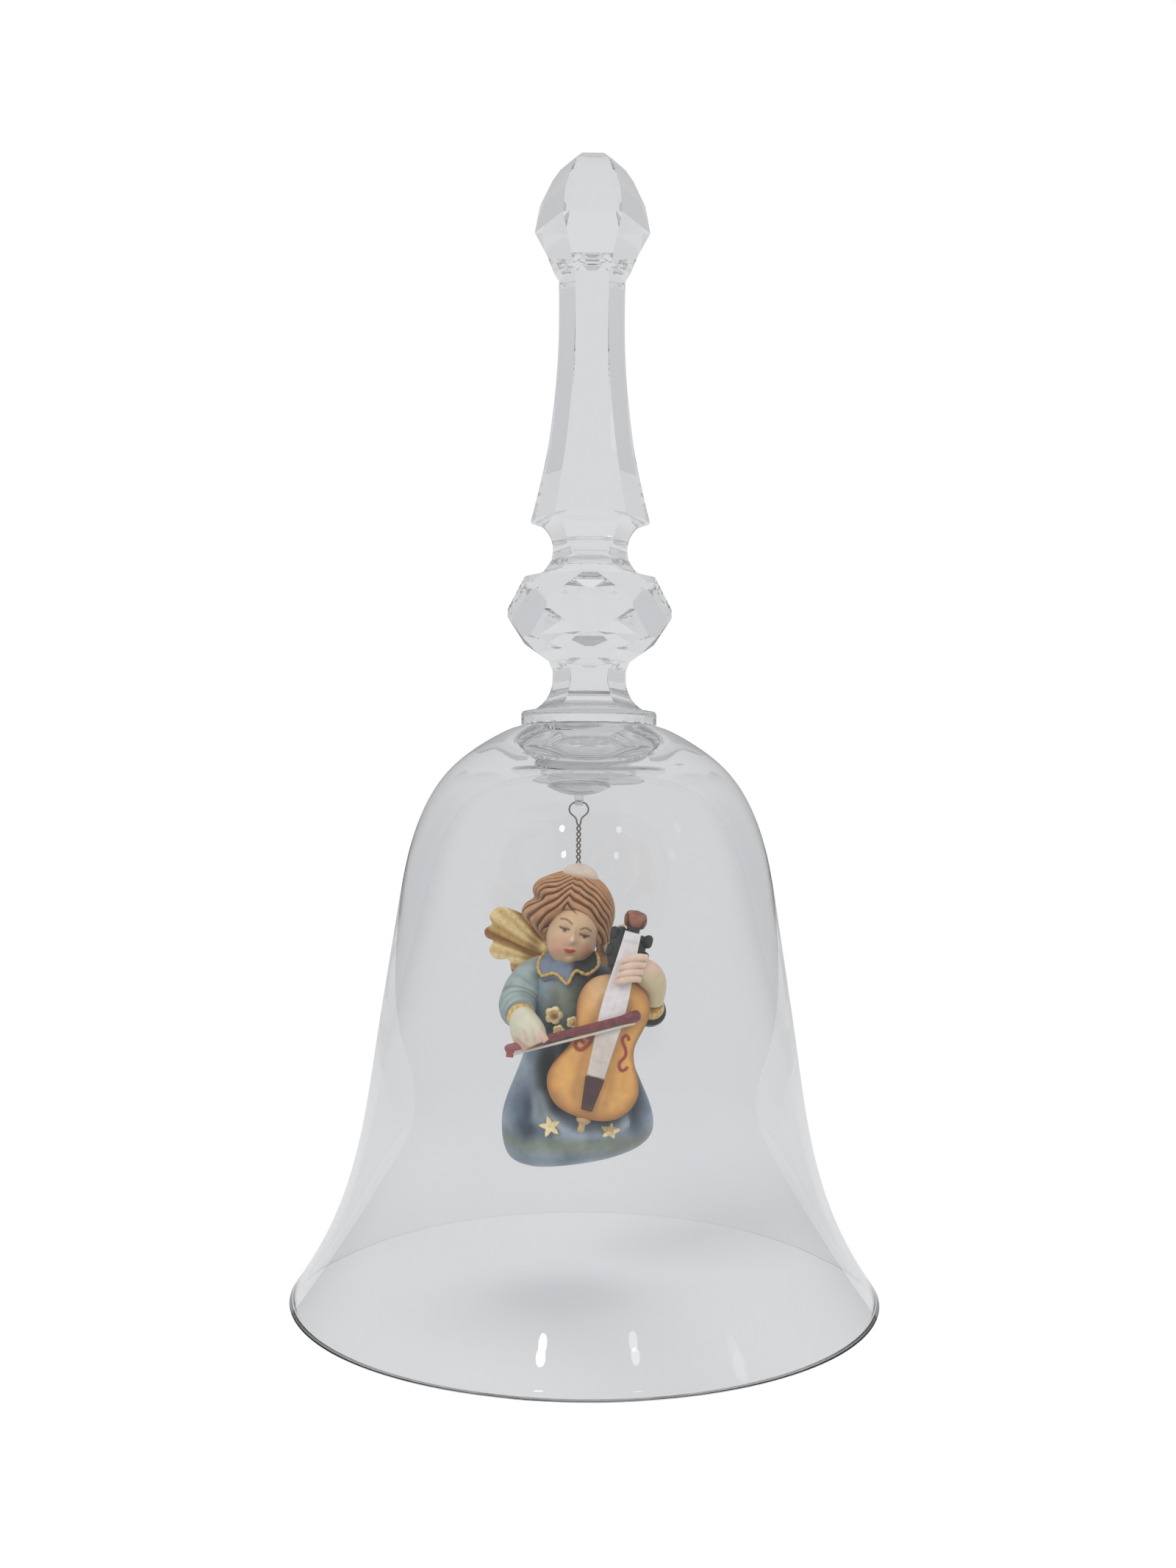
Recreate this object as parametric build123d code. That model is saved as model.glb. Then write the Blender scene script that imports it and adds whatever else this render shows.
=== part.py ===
from build123d import *
import math
import os

# Hand bell of clear crystal with a carved wooden angel for a clapper.
# Millimetres. Origin: centre of the rim's plane, on the bell's axis. +Z up, the angel faces -Y.

# ---- Driving dimensions ----
# bowl
RIM_R = 43.65
RIM_WALL = 1.2
RIM_EDGE = 0.25
BOWL_TOP_Z = 84.1
BOWL_SEAT_R = 10.6
CROWN_INSIDE_Z = 79.1
# (z, outer radius, wall measured level) from the rim up to the shoulder
BOWL_WALL = [
    (11.0, 37.3, 1.25),
    (22.0, 33.8, 1.35),
    (38.5, 31.1, 1.8),
    (55.5, 28.5, 3.3),
    (68.5, 25.8, 4.3),
]
BOWL_SHOULDER = [(77.3, 21.0), (82.5, 14.2)]
CROWN_INSIDE = [(74.8, 17.0), (77.7, 11.0)]

# handle
COLLAR_R = 10.15
COLLAR_HEIGHT = 2.0
BOND_THICK = 0.2
BOND_R = 9.9
NECK_R = 5.5
KNOP_R = 12.35
KNOP_Z = 101.25
SKIRT_R = 8.9
SKIRT_Z = 114.9
SHAFT_R = 5.0
KNOB_R = 8.7
KNOB_Z = 158.5
HANDLE_TOP_Z = 170.0

# hanger
HANG_X = -1.4
BUTTON_R = 4.9
BUTTON_TOP_Z = 78.1
BUTTON_EDGE = 0.7
BUTTON_BULGE = 2.1
PEG_R = 0.7
PEG_END_Z = 73.35
EYE_Z = 74.0
EYE_R = 0.38
WIRE_R = 0.15
LOOP_R = 1.45
LOOP_FOOT_Z = 70.4
TWIST_R = 0.3
TWIST_FOOT_Z = 64.2

# clapper
FIGURE_X = -1.4
CELLO_FOOT = (-0.34, -9.3, 27.6)
CELLO_LEAN = 14.2
CELLO_TILT = 6.0
CELLO_LENGTH = 21.4
CELLO_DEPTH = 3.0
BOW_TAIL = (-11.4, -12.4, 38.1)
BOW_HEAD = (7.6, -12.0, 43.2)
BOW_R = 0.5

HEX = 6
HALF_HEX_TURN = 30
COS_HALF_HEX = math.cos(math.radians(HALF_HEX_TURN))

os.makedirs("parts", exist_ok=True)


# ---- Shared shapes ----
def ball(x, y, z, half_x, half_y, half_z):
    """Ellipsoid about a centre, given by its three half sizes."""
    return Pos(x, y, z) * scale(Sphere(1), by=(half_x, half_y, half_z))


def rod(start, end, start_r, end_r=None):
    """Round rod or cone between two points."""
    run = Vector(*end) - Vector(*start)
    middle = Vector(*start) + run * 0.5
    end_r = start_r if end_r is None else end_r
    plane = Plane(origin=middle, z_dir=run)
    if abs(start_r - end_r) < 1e-6:
        return plane * Cylinder(start_r, run.length)
    return plane * Cone(start_r, end_r, run.length)


def limb(points, radii):
    """Tapering limb: a ball at each point and a cone along each run."""
    body = None
    for point, radius in zip(points, radii):
        joint_ball = Pos(*point) * Sphere(radius)
        body = joint_ball if body is None else body + joint_ball
    for start, end, start_r, end_r in zip(points, points[1:], radii, radii[1:]):
        body += rod(start, end, start_r, end_r)
    return body


def oval_loft(stations):
    """Smooth solid through level ovals: (z, centre x, centre y, half width, half depth)."""
    ovals = []
    for z, x, y, half_width, half_depth in stations:
        ovals.append(Pos(x, y, z) * Ellipse(half_width, half_depth))
    return loft(ovals)


def fitted(solid, *neighbours):
    """The largest solid left after the neighbours' room is cut out."""
    for other in neighbours:
        solid = solid - other
    return solid.solids().sort_by(SortBy.VOLUME)[-1]


# ---- Glass ----
def bell_bowl():
    """Blown bowl: a turned profile, thin at the rim and heavy at the crown."""
    outer = [(RIM_R, 0)] + [(r, z) for z, r, wall in BOWL_WALL]
    outer += [(r, z) for z, r in BOWL_SHOULDER] + [(BOWL_SEAT_R, BOWL_TOP_Z)]
    inner = [(RIM_R - RIM_WALL, 0)] + [(r - wall, z) for z, r, wall in BOWL_WALL]
    inner += [(r, z) for z, r in CROWN_INSIDE] + [(0, CROWN_INSIDE_Z)]
    with BuildPart() as bowl:
        with BuildSketch(Plane.XZ):
            with BuildLine():
                Spline(*outer, tangents=((-0.72, 1), (-1, 0.25)))
                Spline(*inner, tangents=((-0.70, 1), (-1, 0)))
                Line(inner[0], outer[0])
                Polyline(outer[-1], (0, BOWL_TOP_Z), inner[-1])
            make_face()
        revolve(axis=Axis.Z)
        rim = bowl.edges().filter_by(GeomType.CIRCLE).group_by(Axis.Z)[0]
        fillet(rim, RIM_EDGE)
    return bowl.part.solid()


def hollow(z_wide, r_wide, z_waist, r_waist, steps=6):
    """Stations down a quarter-oval hollow, from its wide end to its waist."""
    stations = []
    for i in range(steps + 1):
        angle = math.radians(90) * i / steps
        z = z_wide + (z_waist - z_wide) * (1 - math.cos(angle))
        stations.append((z, r_wide + (r_waist - r_wide) * math.sin(angle)))
    return stations


def hex_stack(stations, turn):
    """Six-sided stack of facets through (z, distance of the flats from the axis)."""
    levels = []
    for z, flat in stations:
        levels.append(Pos(0, 0, z) * RegularPolygon(flat, HEX, major_radius=False, rotation=turn))
    return loft(levels, ruled=True)


def crystal_handle():
    """Hexagonal crystal: one six-sided stack, with its arrises cut by a second, turned stack."""
    collar_z = BOWL_TOP_Z + BOND_THICK
    flare_z = collar_z + COLLAR_HEIGHT
    foot = hollow(flare_z, COLLAR_R, 91.4, NECK_R)
    knop_under = [(92.6, NECK_R), (94.0, 6.1), (95.2, 7.8)]
    knop_over = [(106.6, 8.5), (107.6, 6.9), (109.2, 5.8), (110.5, 5.6)]
    skirt_under = hollow(SKIRT_Z, SKIRT_R, 110.8, 5.6)[::-1]
    shaft = [(118.6, 8.0), (123.5, 6.9), (129, 6.05), (135, 5.4), (142, SHAFT_R), (151.2, SHAFT_R)]
    knob = [(152.3, 5.7), (155.0, 6.8), (KNOB_Z, KNOB_R), (162.5, 7.95), (166.3, 6.1)]
    crown = [(168.0, 4.9), (169.3, 3.2), (HANDLE_TOP_Z, 1.2)]
    common = foot + knop_under
    upper = skirt_under + shaft + knob + crown

    # arrises of the main stack: straight up the knop's six diamonds, proud at the skirt
    arris = common + [(97.1, KNOP_R), (105.9, KNOP_R)] + knop_over
    arris += [(z, r + 0.5 * max(0.0, 1 - abs(z - SKIRT_Z) / 22)) for z, r in upper]
    # flats of the turned stack: a double cone at the knop
    bevel = common + [(97.1, 9.9), (KNOP_Z - 0.6, KNOP_R), (KNOP_Z + 0.6, KNOP_R), (105.9, 9.6)]
    bevel += knop_over + upper

    main = hex_stack([(z, r * COS_HALF_HEX) for z, r in arris], 0)
    turned = hex_stack(bevel, HALF_HEX_TURN)
    collar = Pos(0, 0, collar_z + COLLAR_HEIGHT / 2) * Cylinder(COLLAR_R, COLLAR_HEIGHT)
    return ((main & turned) + collar).solid()


def handle_bond():
    """Adhesive film between the bowl's seat and the handle's collar."""
    return Pos(0, 0, BOWL_TOP_Z + BOND_THICK / 2) * Cylinder(BOND_R, BOND_THICK)


def hanger_button():
    """Plano-convex button: a short edge and a shallow ball face below."""
    dome_r = (BUTTON_R ** 2 + BUTTON_BULGE ** 2) / (2 * BUTTON_BULGE)
    face_z = BUTTON_TOP_Z - BUTTON_EDGE - BUTTON_BULGE
    blank_height = BUTTON_EDGE + BUTTON_BULGE
    blank = Pos(HANG_X, 0, BUTTON_TOP_Z - blank_height / 2) * Cylinder(BUTTON_R, blank_height)
    return (blank & (Pos(HANG_X, 0, face_z + dome_r) * Sphere(dome_r))).solid()


def button_bond(bowl):
    """Adhesive that fills the hollow of the crown over the button."""
    height = CROWN_INSIDE_Z - BUTTON_TOP_Z + 1
    return fitted(Pos(HANG_X, 0, BUTTON_TOP_Z + height / 2) * Cylinder(BUTTON_R - 0.4, height), bowl)


def hanger_peg(button):
    """Clear peg with a cross-drilled eye for the wire."""
    height = 3.0
    peg = Pos(HANG_X, 0, PEG_END_Z + height / 2) * Cylinder(PEG_R, height)
    eye = Pos(HANG_X, 0, EYE_Z) * Rot(0, 90, 0) * Cylinder(EYE_R, 4 * PEG_R)
    return fitted(peg - eye, button)


# ---- Wire ----
def wire_loop():
    """Teardrop of wire: an arc through the eye and two straight legs that close at the foot."""
    centre_z = EYE_Z + 0.09 - LOOP_R
    leg_gap = WIRE_R + 0.02
    arc_end = 25
    side_x = LOOP_R * math.cos(math.radians(arc_end))
    side_z = centre_z - LOOP_R * math.sin(math.radians(arc_end))
    with BuildLine(Plane.XZ) as line:
        Line((HANG_X - leg_gap, LOOP_FOOT_Z), (HANG_X - side_x, side_z))
        ThreePointArc((HANG_X - side_x, side_z), (HANG_X, centre_z + LOOP_R), (HANG_X + side_x, side_z))
        Line((HANG_X + side_x, side_z), (HANG_X + leg_gap, LOOP_FOOT_Z))
    path = line.wire()
    section = Plane(origin=path @ 0, z_dir=path % 0) * Circle(WIRE_R)
    return sweep(section, path=path, transition=Transition.ROUND).solid()


def wire_twist():
    """The two ends twisted together, as one round stem of the twist's outer size."""
    return rod((HANG_X, 0, LOOP_FOOT_Z - 0.15), (HANG_X, 0, TWIST_FOOT_Z), TWIST_R)


# ---- Angel ----
def angel_dress():
    """Kneeling dress: a full rounded skirt, a waist and a bodice up to the neck."""
    return oval_loft([
        (19.8, FIGURE_X, 0.9, 7.6, 6.0),
        (21.3, FIGURE_X, 0.9, 10.3, 8.0),
        (24.5, FIGURE_X, 0.9, 11.3, 9.0),
        (30.0, FIGURE_X, 0.9, 10.2, 8.4),
        (36.0, FIGURE_X, 0.8, 8.0, 6.7),
        (41.0, FIGURE_X, 0.7, 7.4, 5.5),
        (46.0, FIGURE_X, 0.6, 7.6, 4.9),
        (49.4, -1.8, 0.0, 5.2, 3.9),
        (50.4, -2.0, -0.3, 2.6, 2.4),
    ]).solid()


def angel_head(dress):
    """Head and neck, tipped to the side and looking down."""
    skull = Pos(-2.1, -1.6, 54.2) * Rot(8, 14, 0) * scale(Sphere(1), by=(3.9, 4.3, 5.1))
    neck = rod((-2.0, 0, 48.0), (-2.1, -0.6, 52.0), 1.9)
    return fitted(skull + neck, dress)


def angel_hair(head, dress):
    """Mass of wavy hair over the skull, open over the face."""
    mass = Pos(-2.2, 0.6, 57.3) * Rot(0, 10, 0) * scale(Sphere(1), by=(6.4, 6.0, 6.0))
    face_window = ball(-2.1, -7.4, 53.2, 3.8, 5.8, 4.9)
    return fitted(mass, face_window, head, dress)


def collar_trim(dress, head, hair):
    """Gilded edge of the dress's collar, a flattened ring round the neck."""
    return fitted(Pos(-2.4, -0.8, 49.0) * Rot(16, 4, 0) * Torus(4.4, 0.55), dress, head, hair)


def glue_bead(hair, twist):
    """Clear bead of glue that holds the wire in the hair."""
    return fitted(ball(-1.2, 0, 63.6, 2.1, 1.9, 1.1), hair, twist)


def right_sleeve(*near):
    return fitted(limb([(-7.6, 0.4, 47.6), (-10.0, -2.6, 43.2), (-9.4, -6.6, 42.6)], [2.9, 2.9, 2.0]), *near)


def right_cuff(*near):
    return fitted(rod((-9.6, -7.2, 42.9), (-8.9, -8.8, 41.9), 1.9), *near)


def right_hand(*near):
    """Fist closed round the bow."""
    return fitted(limb([(-8.5, -10.6, 41.0), (-7.3, -11.8, 39.2)], [2.1, 2.0]), *near)


def left_sleeve(*near):
    return fitted(limb([(4.8, 0.4, 47.4), (8.6, -2.4, 43.0), (9.3, -4.6, 43.2)], [2.8, 2.6, 2.1]), *near)


def left_cuff(*near):
    return fitted(rod((9.4, -5.4, 43.4), (9.4, -6.8, 44.6), 1.9), *near)


def left_hand(*near):
    """Forearm and hand raised to the cello's neck."""
    return fitted(limb([(9.3, -7.0, 46.2), (7.4, -9.6, 49.0), (6.3, -10.0, 50.0)], [1.6, 1.7, 1.4]), *near)


# ---- Wings ----
def wing(root, tip, *near):
    """Flat carved wing, given by its root and its tip."""
    run = Vector(*tip) - Vector(*root)
    across = Vector(run.X, run.Y, 0).normalized()
    plane = Plane(origin=root, x_dir=across, z_dir=across.cross(Vector(0, 0, 1)))
    reach = math.hypot(run.X, run.Y)
    rise = run.Z
    outline = [
        (0, 2.6), (0.45 * reach, 0.72 * rise + 1.6), (0.86 * reach, rise), (reach, rise - 2.0),
        (0.92 * reach, rise - 4.6), (0.72 * reach, rise - 7.6), (0.5 * reach, rise - 9.4), (0, -2.2),
    ]
    with BuildSketch(plane) as sketch:
        with BuildLine():
            Spline(*outline)
            Line(outline[-1], outline[0])
        make_face()
    blade = extrude(sketch.sketch, 0.7, both=True)
    return fitted(blade, *near)


# ---- Cello: drawn flat, X across, Y up the neck, Z out of its front ----
CELLO_PLACE = Pos(*CELLO_FOOT) * Rot(0, CELLO_LEAN, 0) * Rot(90 - CELLO_TILT, 0, 0)


def cello_body(*near):
    """Ribs and plates as one solid block in the cello's waisted outline."""
    half = [(0, 0), (4.6, 1.2), (6.6, 5.2), (4.4, 11.4), (5.2, 16.8), (3.6, 20.4), (1.3, CELLO_LENGTH)]
    outline = [(-x, y) for x, y in half[:0:-1]] + half
    with BuildSketch() as sketch:
        with BuildLine():
            Spline(*outline)
            Line(outline[-1], outline[0])
        make_face()
    return fitted(CELLO_PLACE * extrude(sketch.sketch, CELLO_DEPTH), *near)


def cello_neck(*near):
    """Neck, peg box and scroll."""
    neck = Pos(0, 24.9, 1.9) * Box(1.7, 7.0, 1.5)
    scroll = Pos(0, 29.6, 1.7) * Rot(0, 90, 0) * Cylinder(1.6, 2.8)
    return fitted(CELLO_PLACE * (neck + scroll), *near)


def cello_strings(*near):
    """Fingerboard and strings, carved as one tapering strip."""
    half = [(1.3, 6.3), (1.8, 16.5), (1.15, 27.6)]
    corners = half + [(-x, y) for x, y in half[::-1]]
    strip = extrude(make_face(Polyline(*corners, close=True)), 0.8)
    return fitted(CELLO_PLACE * (Pos(0, 0, CELLO_DEPTH) * strip), *near)


def cello_tailpiece(*near):
    corners = [(-0.8, 1.4), (0.8, 1.4), (1.4, 6.2), (-1.4, 6.2)]
    plate = extrude(make_face(Polyline(*corners, close=True)), 0.7)
    return fitted(CELLO_PLACE * (Pos(0, 0, CELLO_DEPTH) * plate), *near)


def cello_pegs(*near):
    """Four pegs, two on each side of the peg box."""
    pegs = []
    for side in (-1, 1):
        for height in (24.6, 27.0):
            blank = Pos(side * 1.95, height, 1.9) * Rot(0, 90, 0) * Cylinder(0.55, 2.2)
            pegs.append(fitted(CELLO_PLACE * blank, *near))
    return Compound(pegs)


def cello_end_pin(*near):
    pin = Pos(0, -0.9, CELLO_DEPTH / 2) * Rot(90, 0, 0) * Cylinder(0.75, 2.2)
    return fitted(CELLO_PLACE * pin, *near)


# ---- Bow ----
def bow_point(share, drop=0.0):
    """Point along the bow's stick, or straight below it."""
    return tuple(a + (b - a) * share for a, b in zip(BOW_TAIL, BOW_HEAD))[:2] + (
        BOW_TAIL[2] + (BOW_HEAD[2] - BOW_TAIL[2]) * share - drop,
    )


def bow_stick():
    stick = rod(bow_point(0), bow_point(1), BOW_R)
    tip = rod(bow_point(0.96), bow_point(0.985, 1.3), 0.5, 0.4)
    return (stick + tip).solid()


def bow_frog(*near):
    return fitted(rod(bow_point(0.04), bow_point(0.035, 1.3), 0.6), *near)


def bow_hair(*near):
    return fitted(rod(bow_point(0.06, 1.0), bow_point(0.96, 1.0), 0.22), *near)


# ---- Gilded details ----
def sash_flowers(*near):
    """Cluster of three gilded flowers at the waist."""
    flowers = []
    for x, y, z in [(-4.7, -6.2, 42.6), (-4.0, -6.6, 40.2), (-2.0, -6.3, 41.6)]:
        flowers.append(fitted(ball(x, y, z, 1.2, 1.2, 1.2), *near))
    return Compound(flowers)


def dress_stars(dress, *near):
    """Two gilded five-point stars on the skirt's front."""
    outer_r, inner_r, points = 1.6, 0.75, 5
    stars = []
    for x, y, z in [(-5.1, -8.4, 26.0), (3.5, -8.3, 25.5)]:
        corners = []
        for i in range(2 * points):
            radius = inner_r if i % 2 else outer_r
            angle = math.radians(90 + 180 * i / points)
            corners.append((radius * math.cos(angle), radius * math.sin(angle)))
        face = make_face(Polyline(*corners, close=True))
        blank = Pos(x, y, z) * Rot(90, 0, 0) * extrude(face, 1.6, both=True)
        shell = offset(dress, 0.5)
        stars.append(fitted((blank & shell), dress, *near))
    return Compound(stars)


def build():
    """Every piece by node name, each cut to fit the ones made before it."""
    node = {}
    node["bell_bowl"] = bell_bowl()
    node["crystal_handle"] = crystal_handle()
    node["handle_bond"] = handle_bond()
    node["hanger_button"] = hanger_button()
    node["button_bond"] = button_bond(node["bell_bowl"])
    node["hanger_peg"] = hanger_peg(node["hanger_button"])
    node["wire_loop"] = wire_loop()
    node["wire_twist"] = wire_twist()

    dress = node["angel_dress"] = angel_dress()
    head = node["angel_head"] = angel_head(dress)
    hair = node["angel_hair"] = angel_hair(head, dress)
    node["glue_bead"] = glue_bead(hair, node["wire_twist"])
    trim = node["collar_trim"] = collar_trim(dress, head, hair)
    node["angel_hair"] = hair = fitted(hair, node["wire_twist"])
    body = (dress, head, hair, trim)
    node["right_wing"] = wing((-4.4, 5.0, 50.2), (-16.1, 6.6, 57.2), dress, hair)
    node["left_wing"] = wing((1.6, 5.0, 50.2), (8.4, 14.4, 54.6), dress, hair)
    wings = (node["right_wing"], node["left_wing"])

    stick = node["bow_stick"] = bow_stick()
    frog = node["bow_frog"] = bow_frog(stick)
    bow_line = node["bow_hair"] = bow_hair(stick, frog)
    bow = (stick, frog, bow_line)

    cello = node["cello_body"] = cello_body(*body)
    neck = node["cello_neck"] = cello_neck(cello, *body, *wings)
    strings = node["cello_strings"] = cello_strings(cello, neck, *body, *bow)
    node["cello_tailpiece"] = cello_tailpiece(cello, strings)
    node["cello_pegs"] = cello_pegs(cello, neck, strings, *body, *wings)
    node["cello_end_pin"] = cello_end_pin(cello, dress)
    instrument = (cello, neck, strings, node["cello_pegs"])

    node["right_sleeve"] = right_sleeve(*body, *wings, *instrument, *bow)
    node["right_cuff"] = right_cuff(node["right_sleeve"], *body, *bow)
    node["right_hand"] = right_hand(node["right_sleeve"], node["right_cuff"], *body, *instrument, *bow)
    node["left_sleeve"] = left_sleeve(*body, *wings, *instrument, *bow)
    node["left_cuff"] = left_cuff(node["left_sleeve"], *body, *instrument, *bow)
    node["left_hand"] = left_hand(node["left_sleeve"], node["left_cuff"], *body, *instrument, *bow)

    node["sash_flowers"] = sash_flowers(*body, *instrument, *bow, node["right_hand"])
    node["dress_stars"] = dress_stars(dress, cello, node["cello_end_pin"])
    return node


for name, shape in build().items():
    export_step(shape, f"parts/{name}.step")
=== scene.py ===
import math

import bmesh
import bpy
import numpy as np
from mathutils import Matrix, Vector


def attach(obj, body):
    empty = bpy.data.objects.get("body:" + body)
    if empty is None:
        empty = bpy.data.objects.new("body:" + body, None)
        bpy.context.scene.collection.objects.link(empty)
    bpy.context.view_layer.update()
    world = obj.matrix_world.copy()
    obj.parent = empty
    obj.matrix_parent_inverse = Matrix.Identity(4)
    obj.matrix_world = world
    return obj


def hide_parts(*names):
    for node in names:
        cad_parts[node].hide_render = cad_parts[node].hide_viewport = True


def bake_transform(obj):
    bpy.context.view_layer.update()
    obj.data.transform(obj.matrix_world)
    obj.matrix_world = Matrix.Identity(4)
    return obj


# A hand bell of clear crystal with a carved and painted wooden angel for its clapper.
# Sizes are in millimetres until a mesh is made, and then in metres. The angel faces -Y.
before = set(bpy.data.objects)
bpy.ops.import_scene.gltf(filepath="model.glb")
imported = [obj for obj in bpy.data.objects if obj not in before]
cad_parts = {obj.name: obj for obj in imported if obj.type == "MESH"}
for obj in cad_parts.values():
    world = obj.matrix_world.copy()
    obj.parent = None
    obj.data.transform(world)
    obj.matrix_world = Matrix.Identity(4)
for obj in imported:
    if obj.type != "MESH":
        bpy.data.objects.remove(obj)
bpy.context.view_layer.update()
MM = 0.001


# ---- Studio ----
# A pale round floor that fades into a plain white surround, with a grey studio beyond it that only
# shows in the glass. Four large soft lights stand in front, above and behind. The three small ones
# are there to sparkle in the glass.
FLOOR_R = 3.0
FLOOR_FADE = (0.07, 0.24)
FLOOR_PALE = (0.67, 0.675, 0.68)
FLOOR_SHADOW = 0.18
FLOOR_WHITE = 1.1
STUDIO_GREY = (0.72, 0.725, 0.735)
STUDIO_DARK = (0.62, 0.63, 0.645)
GLOSS_SHARE = 0.35
DEEP_LIGHT = (5, 13)
DEEP_SHARE = 0.45
DARK_BAND = (0.26, 0.50)
LIGHT_AIM = (0, 0, 0.06)
LARGE_LIGHTS = (("front_left_light", (-0.7, -0.9, 0.8), 0.6, 6),
                ("front_right_light", (0.8, -0.7, 0.5), 0.5, 2.5),
                ("top_light", (0.1, 0.2, 1.2), 0.7, 3),
                ("back_light", (-0.3, 1.0, 0.7), 0.5, 2))
MIRRORED_LIGHTS = (("small_lamp_left", (-0.25, -0.75, 0.66), 0.055, 0.16),
                   ("small_lamp_right", (0.30, -0.75, 0.66), 0.055, 0.03),
                   ("window_right", (1.0, -0.45, 0.75), 0.10, 0.02))
CAMERA_AT = (0, -0.213, 0.069)
CAMERA_LENS = 32.5
CAMERA_ROLL = -0.44
CAMERA_SHIFT = 0.028
CRYSTAL_BOUNCES = 32


def disc(name, radius, columns=96):
    """Flat ring of points at an even angle, filled as one face."""
    angle = np.linspace(0, 2 * np.pi, columns, endpoint=False)
    rim = np.stack([radius * np.cos(angle), radius * np.sin(angle), 0 * angle], -1)
    mesh = bpy.data.meshes.new(name)
    mesh.from_pydata(rim.tolist(), [], [list(range(columns))])
    thing = bpy.data.objects.new(name, mesh)
    bpy.context.scene.collection.objects.link(thing)
    return thing


def new_material(name):
    """Empty Principled material, with its nodes and links."""
    material = bpy.data.materials.new(name)
    material.use_nodes = True
    return material, material.node_tree.nodes, material.node_tree.links


def join(links, *wires):
    """Links nodes by rows of (from node, its output, to node, its input)."""
    for source, output, target, entry in wires:
        links.new(source.outputs[output], target.inputs[entry])


def floor_finish():
    """Pale matt floor near the bell that turns into the studio's grey further out. Looked at straight
    on it is almost white, with a trace of the matt floor's shadow left in it."""
    material, nodes, links = new_material("pale_floor")
    matt = nodes["Principled BSDF"]
    matt.inputs["Base Color"].default_value = (*FLOOR_PALE, 1)
    matt.inputs["Roughness"].default_value = 0.8
    grey, white = nodes.new("ShaderNodeEmission"), nodes.new("ShaderNodeEmission")
    grey.inputs["Color"].default_value = (*STUDIO_GREY, 1)
    white.inputs["Strength"].default_value = FLOOR_WHITE
    ray, seen = nodes.new("ShaderNodeLightPath"), nodes.new("ShaderNodeMixShader")
    whiten = nodes.new("ShaderNodeMapRange")
    whiten.inputs["To Max"].default_value = 1 - FLOOR_SHADOW
    place = nodes.new("ShaderNodeTexCoord")
    distance = nodes.new("ShaderNodeVectorMath")
    distance.operation = "LENGTH"
    fade = nodes.new("ShaderNodeMapRange")
    fade.interpolation_type = "SMOOTHSTEP"
    fade.inputs["From Min"].default_value, fade.inputs["From Max"].default_value = FLOOR_FADE
    blend = nodes.new("ShaderNodeMixShader")
    join(links,
         (place, "Object", distance, 0), (distance, "Value", fade, "Value"),
         (fade, "Result", blend, "Fac"), (matt, "BSDF", blend, 1), (grey, "Emission", blend, 2))
    bright = nodes.new("ShaderNodeMath")
    bright.operation = "MAXIMUM"
    join(links, (ray, "Is Camera Ray", whiten, "Value"))
    far = nodes.new("ShaderNodeMath")
    far.operation = "MULTIPLY"
    join(links,
         (fade, "Result", far, 0), (ray, "Is Camera Ray", far, 1), (whiten, "Result", bright, 0),
         (far, 0, bright, 1), (bright, 0, seen, "Fac"), (blend, "Shader", seen, 1),
         (white, "Emission", seen, 2), (seen, "Shader", nodes["Material Output"], "Surface"))
    return material


def studio_world():
    """White to the eye; glass and paint see a grey room that darkens in four soft upright bands, and
    a first reflection sees it dimmer still, so that the glass doesn't veil the angel. Light that has
    been turned many times inside the crystal comes out weaker."""
    world = bpy.data.worlds.new("studio")
    world.use_nodes = True
    nodes, links = world.node_tree.nodes, world.node_tree.links
    surround = nodes["Background"]
    place = nodes.new("ShaderNodeTexCoord")
    split = nodes.new("ShaderNodeSeparateXYZ")
    turn = nodes.new("ShaderNodeMath")
    turn.operation = "MULTIPLY"
    size = nodes.new("ShaderNodeMath")
    size.operation = "ABSOLUTE"
    band = nodes.new("ShaderNodeMapRange")
    band.interpolation_type = "SMOOTHSTEP"
    band.inputs["From Min"].default_value, band.inputs["From Max"].default_value = DARK_BAND
    room = nodes.new("ShaderNodeMix")
    room.data_type = "RGBA"
    room.inputs["A"].default_value = (*STUDIO_GREY, 1)
    room.inputs["B"].default_value = (*STUDIO_DARK, 1)
    ray = nodes.new("ShaderNodeLightPath")
    seen = nodes.new("ShaderNodeMix")
    seen.data_type = "RGBA"
    seen.inputs["B"].default_value = (1, 1, 1, 1)
    gloss = nodes.new("ShaderNodeMapRange")
    gloss.inputs["To Min"].default_value = 1
    gloss.inputs["To Max"].default_value = GLOSS_SHARE
    deep = nodes.new("ShaderNodeMapRange")
    deep.inputs["From Min"].default_value, deep.inputs["From Max"].default_value = DEEP_LIGHT
    deep.inputs["To Min"].default_value = 1
    deep.inputs["To Max"].default_value = DEEP_SHARE
    strength = nodes.new("ShaderNodeMath")
    strength.operation = "MULTIPLY"
    both = nodes.new("ShaderNodeMath")
    both.operation = "MINIMUM"
    join(links,
         (place, "Generated", split, 0), (split, "X", turn, 0), (split, "Y", turn, 1),
         (turn, 0, size, 0), (size, 0, band, "Value"), (band, "Result", room, "Factor"),
         (room, "Result", seen, "A"), (ray, "Is Camera Ray", seen, "Factor"),
         (seen, "Result", surround, "Color"), (ray, "Is Glossy Ray", both, 0),
         (ray, "Is Reflection Ray", both, 1), (both, 0, gloss, "Value"),
         (ray, "Ray Depth", deep, "Value"), (gloss, "Result", strength, 0),
         (deep, "Result", strength, 1), (strength, 0, surround, "Strength"))
    return world


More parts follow.
